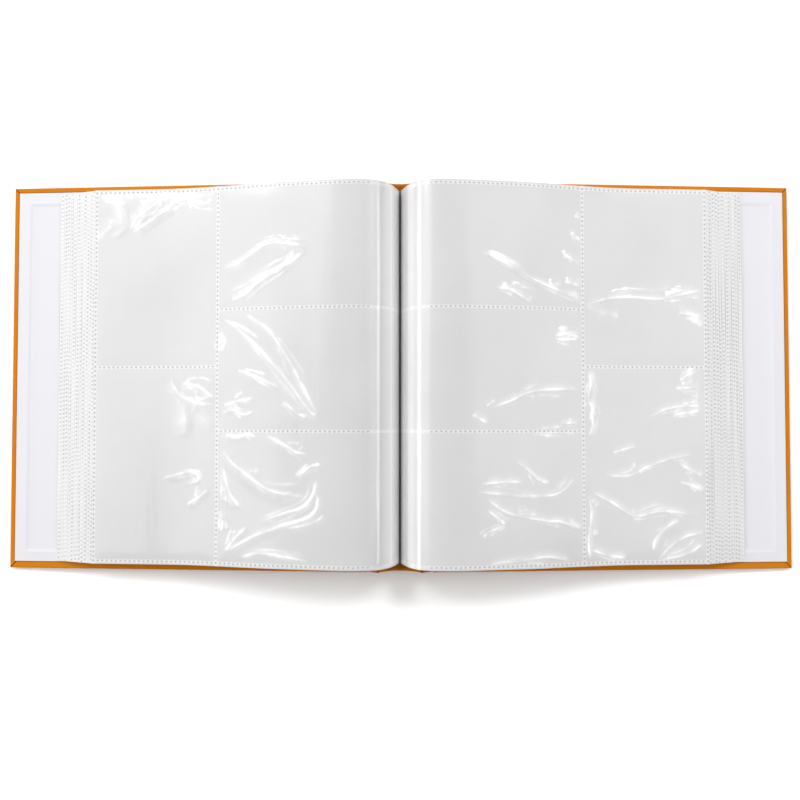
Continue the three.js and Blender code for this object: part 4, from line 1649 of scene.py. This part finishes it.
    def _joint(self, side: Side) -> None:
        """The cloth and the paper curved over a cover's hinge line.

        Args:
            side: The cover's side.
        """
        sizes = self.sizes
        hinge, down, off = sizes.hinge, sizes.down_cover, sizes.off_cover
        leaving = np.array([math.cos(sizes.spine_spread), math.sin(sizes.spine_spread)])
        out = np.array([leaving[1], -leaving[0]])
        middle = np.array([0.0, sizes.spine_centre])
        spine_end = middle + (sizes.spine_radius - sizes.cloth / 2) * out
        board_edge = hinge + down * sizes.joint_width + off * (sizes.cover_bottom + sizes.cloth / 2)
        cloth_line = (spine_end, spine_end + leaving * 1.2 * MM, board_edge - down * 3.2 * MM, board_edge)
        paper_edge = hinge + down * (sizes.joint_width + 0.05 * MM)
        paper_edge = paper_edge + off * (sizes.paper_top - sizes.cloth - sizes.paper / 2)
        start = hinge + np.array([-1.2, 1.0]) * MM
        paper_line = (start, start + np.array([1.5, 0.1]) * MM, paper_edge - down * 3 * MM, paper_edge)
        half = sizes.half_height
        cloth_maker = MeshMaker(f"{side.word}_joint_cloth", side)
        paper_maker = MeshMaker(f"{side.word}_joint_paper", side)
        self._strip(cloth_maker, bezier(cloth_line, 16), sizes.cloth, half)
        self._strip(paper_maker, bezier(paper_line, 14), sizes.paper, half - self.PAPER_BELOW_HEAD)
        cloth = cloth_maker.build(self.materials.cloth)
        paper = paper_maker.build(self.materials.endpaper)
        start = (side.value * (hinge[0] + self.JOINT_START), 0.0, hinge[1])
        end = hinge + down * self.JOINT_END
        end = (side.value * end[0], 0.0, end[1])
        for piece, slot in ((cloth, "book_cloth"), (paper, "endpaper")):
            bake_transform(piece)

    def _spine_cloth(self) -> None:
        """The spine's cloth, rolled over the strip's head and tail and hemmed inside, with painted shade on
        the hem.
        """
        sizes = self.sizes
        outer, half = sizes.spine_radius, sizes.half_height
        hem_outer, hem_inner = sizes.hem_outer, sizes.hem_outer - sizes.cloth
        big, small = 1.1 * MM, 0.8 * MM
        turn = np.linspace(0, math.pi / 2, self.HEM_SIDES)
        head = [
            *((half - big + big * math.sin(t), outer - big + big * math.cos(t)) for t in turn),
            *((half - small + small * math.cos(t), hem_inner + small - small * math.sin(t)) for t in turn),
            (half - 3.5 * MM, hem_inner),
            (half - sizes.turn_in, hem_inner),
            (half - sizes.turn_in, hem_outer),
            (half - sizes.cloth, hem_outer),
            (half - sizes.cloth, outer - sizes.cloth),
        ]
        tail = [(-across, radius) for across, radius in reversed(head)]
        across, radius = np.array([*head, *tail]).T
        angles = np.linspace(-sizes.spine_spread, sizes.spine_spread, self.SPINE_STATIONS)[:, None]
        height = sizes.spine_centre - radius * np.cos(angles)
        points = np.stack(
            [radius * np.sin(angles), np.broadcast_to(across, height.shape), height], axis=-1
        )
        # Painted shade on the hem's inside faces at the head and tail, given as a distance past the
        # endpaper: darkest away from the nose and at the spine's middle
        inside = np.isin(np.round(radius, 6), np.round([hem_inner, hem_outer], 6)) | (radius < outer - big)
        hem_shade = 0.3 + 0.9 * np.exp((np.abs(across) - half) / (1.5 * MM))
        hem_shade = hem_shade + 0.5 * (np.abs(angles) / sizes.spine_spread) ** 2
        shade = np.where(inside, hem_shade, self.UNSHADED)
        maker = MeshMaker("spine_cloth_roll")
        start = maker.add_points(points, np.stack([shade, np.full_like(shade, self.UNSHADED)], axis=-1))
        maker.add_rings(start, len(angles), len(across), closed=True)
        cloth = maker.build(self.materials.edged_cloth)
        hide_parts("spine_cloth")
        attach(cloth, "spine")


@dataclass(frozen=True)
class Lamp:
    """A soft white lamp aimed at a point of the album."""

    name: str
    place: tuple[float, float, float]
    aim: tuple[float, float, float]
    wide: float
    tall: float
    power: float

    def hang(self) -> None:
        """Adds the lamp to the scene."""
        light = bpy.data.lights.new(self.name, "AREA")
        light.shape = "RECTANGLE"
        light.size, light.size_y = self.wide, self.tall
        light.energy = self.power
        holder = bpy.data.objects.new(self.name, light)
        direction = Vector(self.aim) - Vector(self.place)
        holder.rotation_euler = direction.to_track_quat("-Z", "Y").to_euler()
        holder.location = self.place
        bpy.context.scene.collection.objects.link(holder)


LAMPS = (
    Lamp("left_softbox", (-2.6, 0.8, 2.3), (0.0, 0.0, 0.03), 3.2, 3.4, 50.0),
    Lamp("left_strip", (-2.9, 0.1, 1.3), (0.0, 0.0, 0.04), 2.4, 0.7, 30.0),
    Lamp("head_left", (-1.5, 1.75, 2.3), (0.0, 0.0, 0.03), 1.0, 0.6, 26.0),
    Lamp("head_right", (1.2, 1.85, 2.3), (0.0, 0.0, 0.03), 1.2, 0.6, 31.0),
    Lamp("tail_right", (1.2, -1.5, 2.3), (0.0, 0.0, 0.03), 0.9, 0.5, 3.0),
    Lamp("right_panel", (2.0, 0.3, 2.2), (0.0, 0.0, 0.03), 1.8, 2.4, 14.5),
    Lamp("right_strip", (1.76, 0.1, 1.32), (0.0, 0.1, 0.04), 1.6, 0.3, 6.5),
)


class Studio:
    """The pale floor, the plain light and the camera."""

    WHITE = (1.0, 1.0, 1.0, 1.0)
    WORLD_LEVEL = 0.18
    FLOOR_TONE, FLOOR_GAIN = 0.97, 1.12
    FLOOR_DROP = 0.2 * MM
    FLOOR_HALF = 4.0
    GLOW_FROM, GLOW_TO = 0.6, 1.3

    def build(self) -> None:
        """Makes the studio."""
        self._world()
        self._floor()
        for lamp in LAMPS:
            lamp.hang()
        self._camera()
        bpy.context.scene.view_settings.view_transform = "Standard"

    @staticmethod
    def _seen(graph: Graph, away: float, in_picture: float) -> Value:
        """One number for what the camera sees and another for the light on everything else."""
        seen = graph.read("ShaderNodeLightPath", "Is Camera Ray")
        span = {"Value": seen, "To Min": away, "To Max": in_picture}
        return graph.read("ShaderNodeMapRange", "Result", span)

    def _world(self) -> None:
        """An even white surround."""
        world = bpy.data.worlds.new("plain_surround")
        world.use_nodes = True
        graph = Graph(world.node_tree)
        background = world.node_tree.nodes["Background"]
        background.inputs["Color"].default_value = self.WHITE
        graph.link(self._seen(graph, self.WORLD_LEVEL, 1.0), background.inputs["Strength"])
        bpy.context.scene.world = world

    def _floor(self) -> None:
        """A white floor that keeps the album's shadow."""
        material = bpy.data.materials.new("white_floor")
        material.use_nodes = True
        graph = Graph(material.node_tree)
        nodes = material.node_tree.nodes
        nodes.remove(nodes["Principled BSDF"])
        pale = self._seen(graph, self.FLOOR_TONE, self.FLOOR_GAIN)
        matt = graph.read("ShaderNodeBsdfDiffuse", 0, {"Color": pale})
        middle = {0: graph.place("Object")}
        apart = graph.read("ShaderNodeVectorMath", "Value", middle, operation="LENGTH")
        far = graph.ramp(apart, self.GLOW_FROM, self.GLOW_TO) * self._seen(graph, 0.0, 1.0)
        glow = graph.read("ShaderNodeEmission", 0, {"Color": self.WHITE, "Strength": far})
        both = graph.read("ShaderNodeAddShader", 0, {0: matt, 1: glow})
        graph.link(both, nodes["Material Output"].inputs["Surface"])
        maker = MeshMaker("floor")
        x = np.array([-1.0, 1.0, 1.0, -1.0]) * self.FLOOR_HALF
        y = np.array([-1.0, -1.0, 1.0, 1.0]) * self.FLOOR_HALF
        maker.add_points(np.stack([x, y, np.full(4, -self.FLOOR_DROP)], axis=-1))
        maker.faces.append((0, 1, 2, 3))
        maker.build(material)

    def _camera(self) -> None:
        """The picture's own view, straight down from a little towards the tail."""
        camera = bpy.data.cameras.new("picture_camera")
        camera.sensor_width = VIEW.sensor
        camera.lens = VIEW.sensor * VIEW.focal_pixels / VIEW.frame_pixels
        camera.clip_start = 20 * MM
        holder = bpy.data.objects.new("picture_camera", camera)
        holder.matrix_world = Matrix.Translation(VIEW.place) @ Matrix(VIEW.turn.tolist()).to_4x4()
        bpy.context.scene.collection.objects.link(holder)
        bpy.context.scene.camera = holder


def main() -> None:
    """Dresses the album and sets up its picture."""
    materials = Materials(SharedShading(SIZES))
    Case(SIZES, materials).build()
    log.info("case: two covers, their joints and the spine")
    for side in Side:
        LeafPile(side, SIZES, materials).build()
        log.info("%s pile: %d leaves", side.word, SIZES.leaves)
    Studio().build()
    log.info("studio: %d lamps", len(LAMPS))


if __name__ == "__main__":
    main()
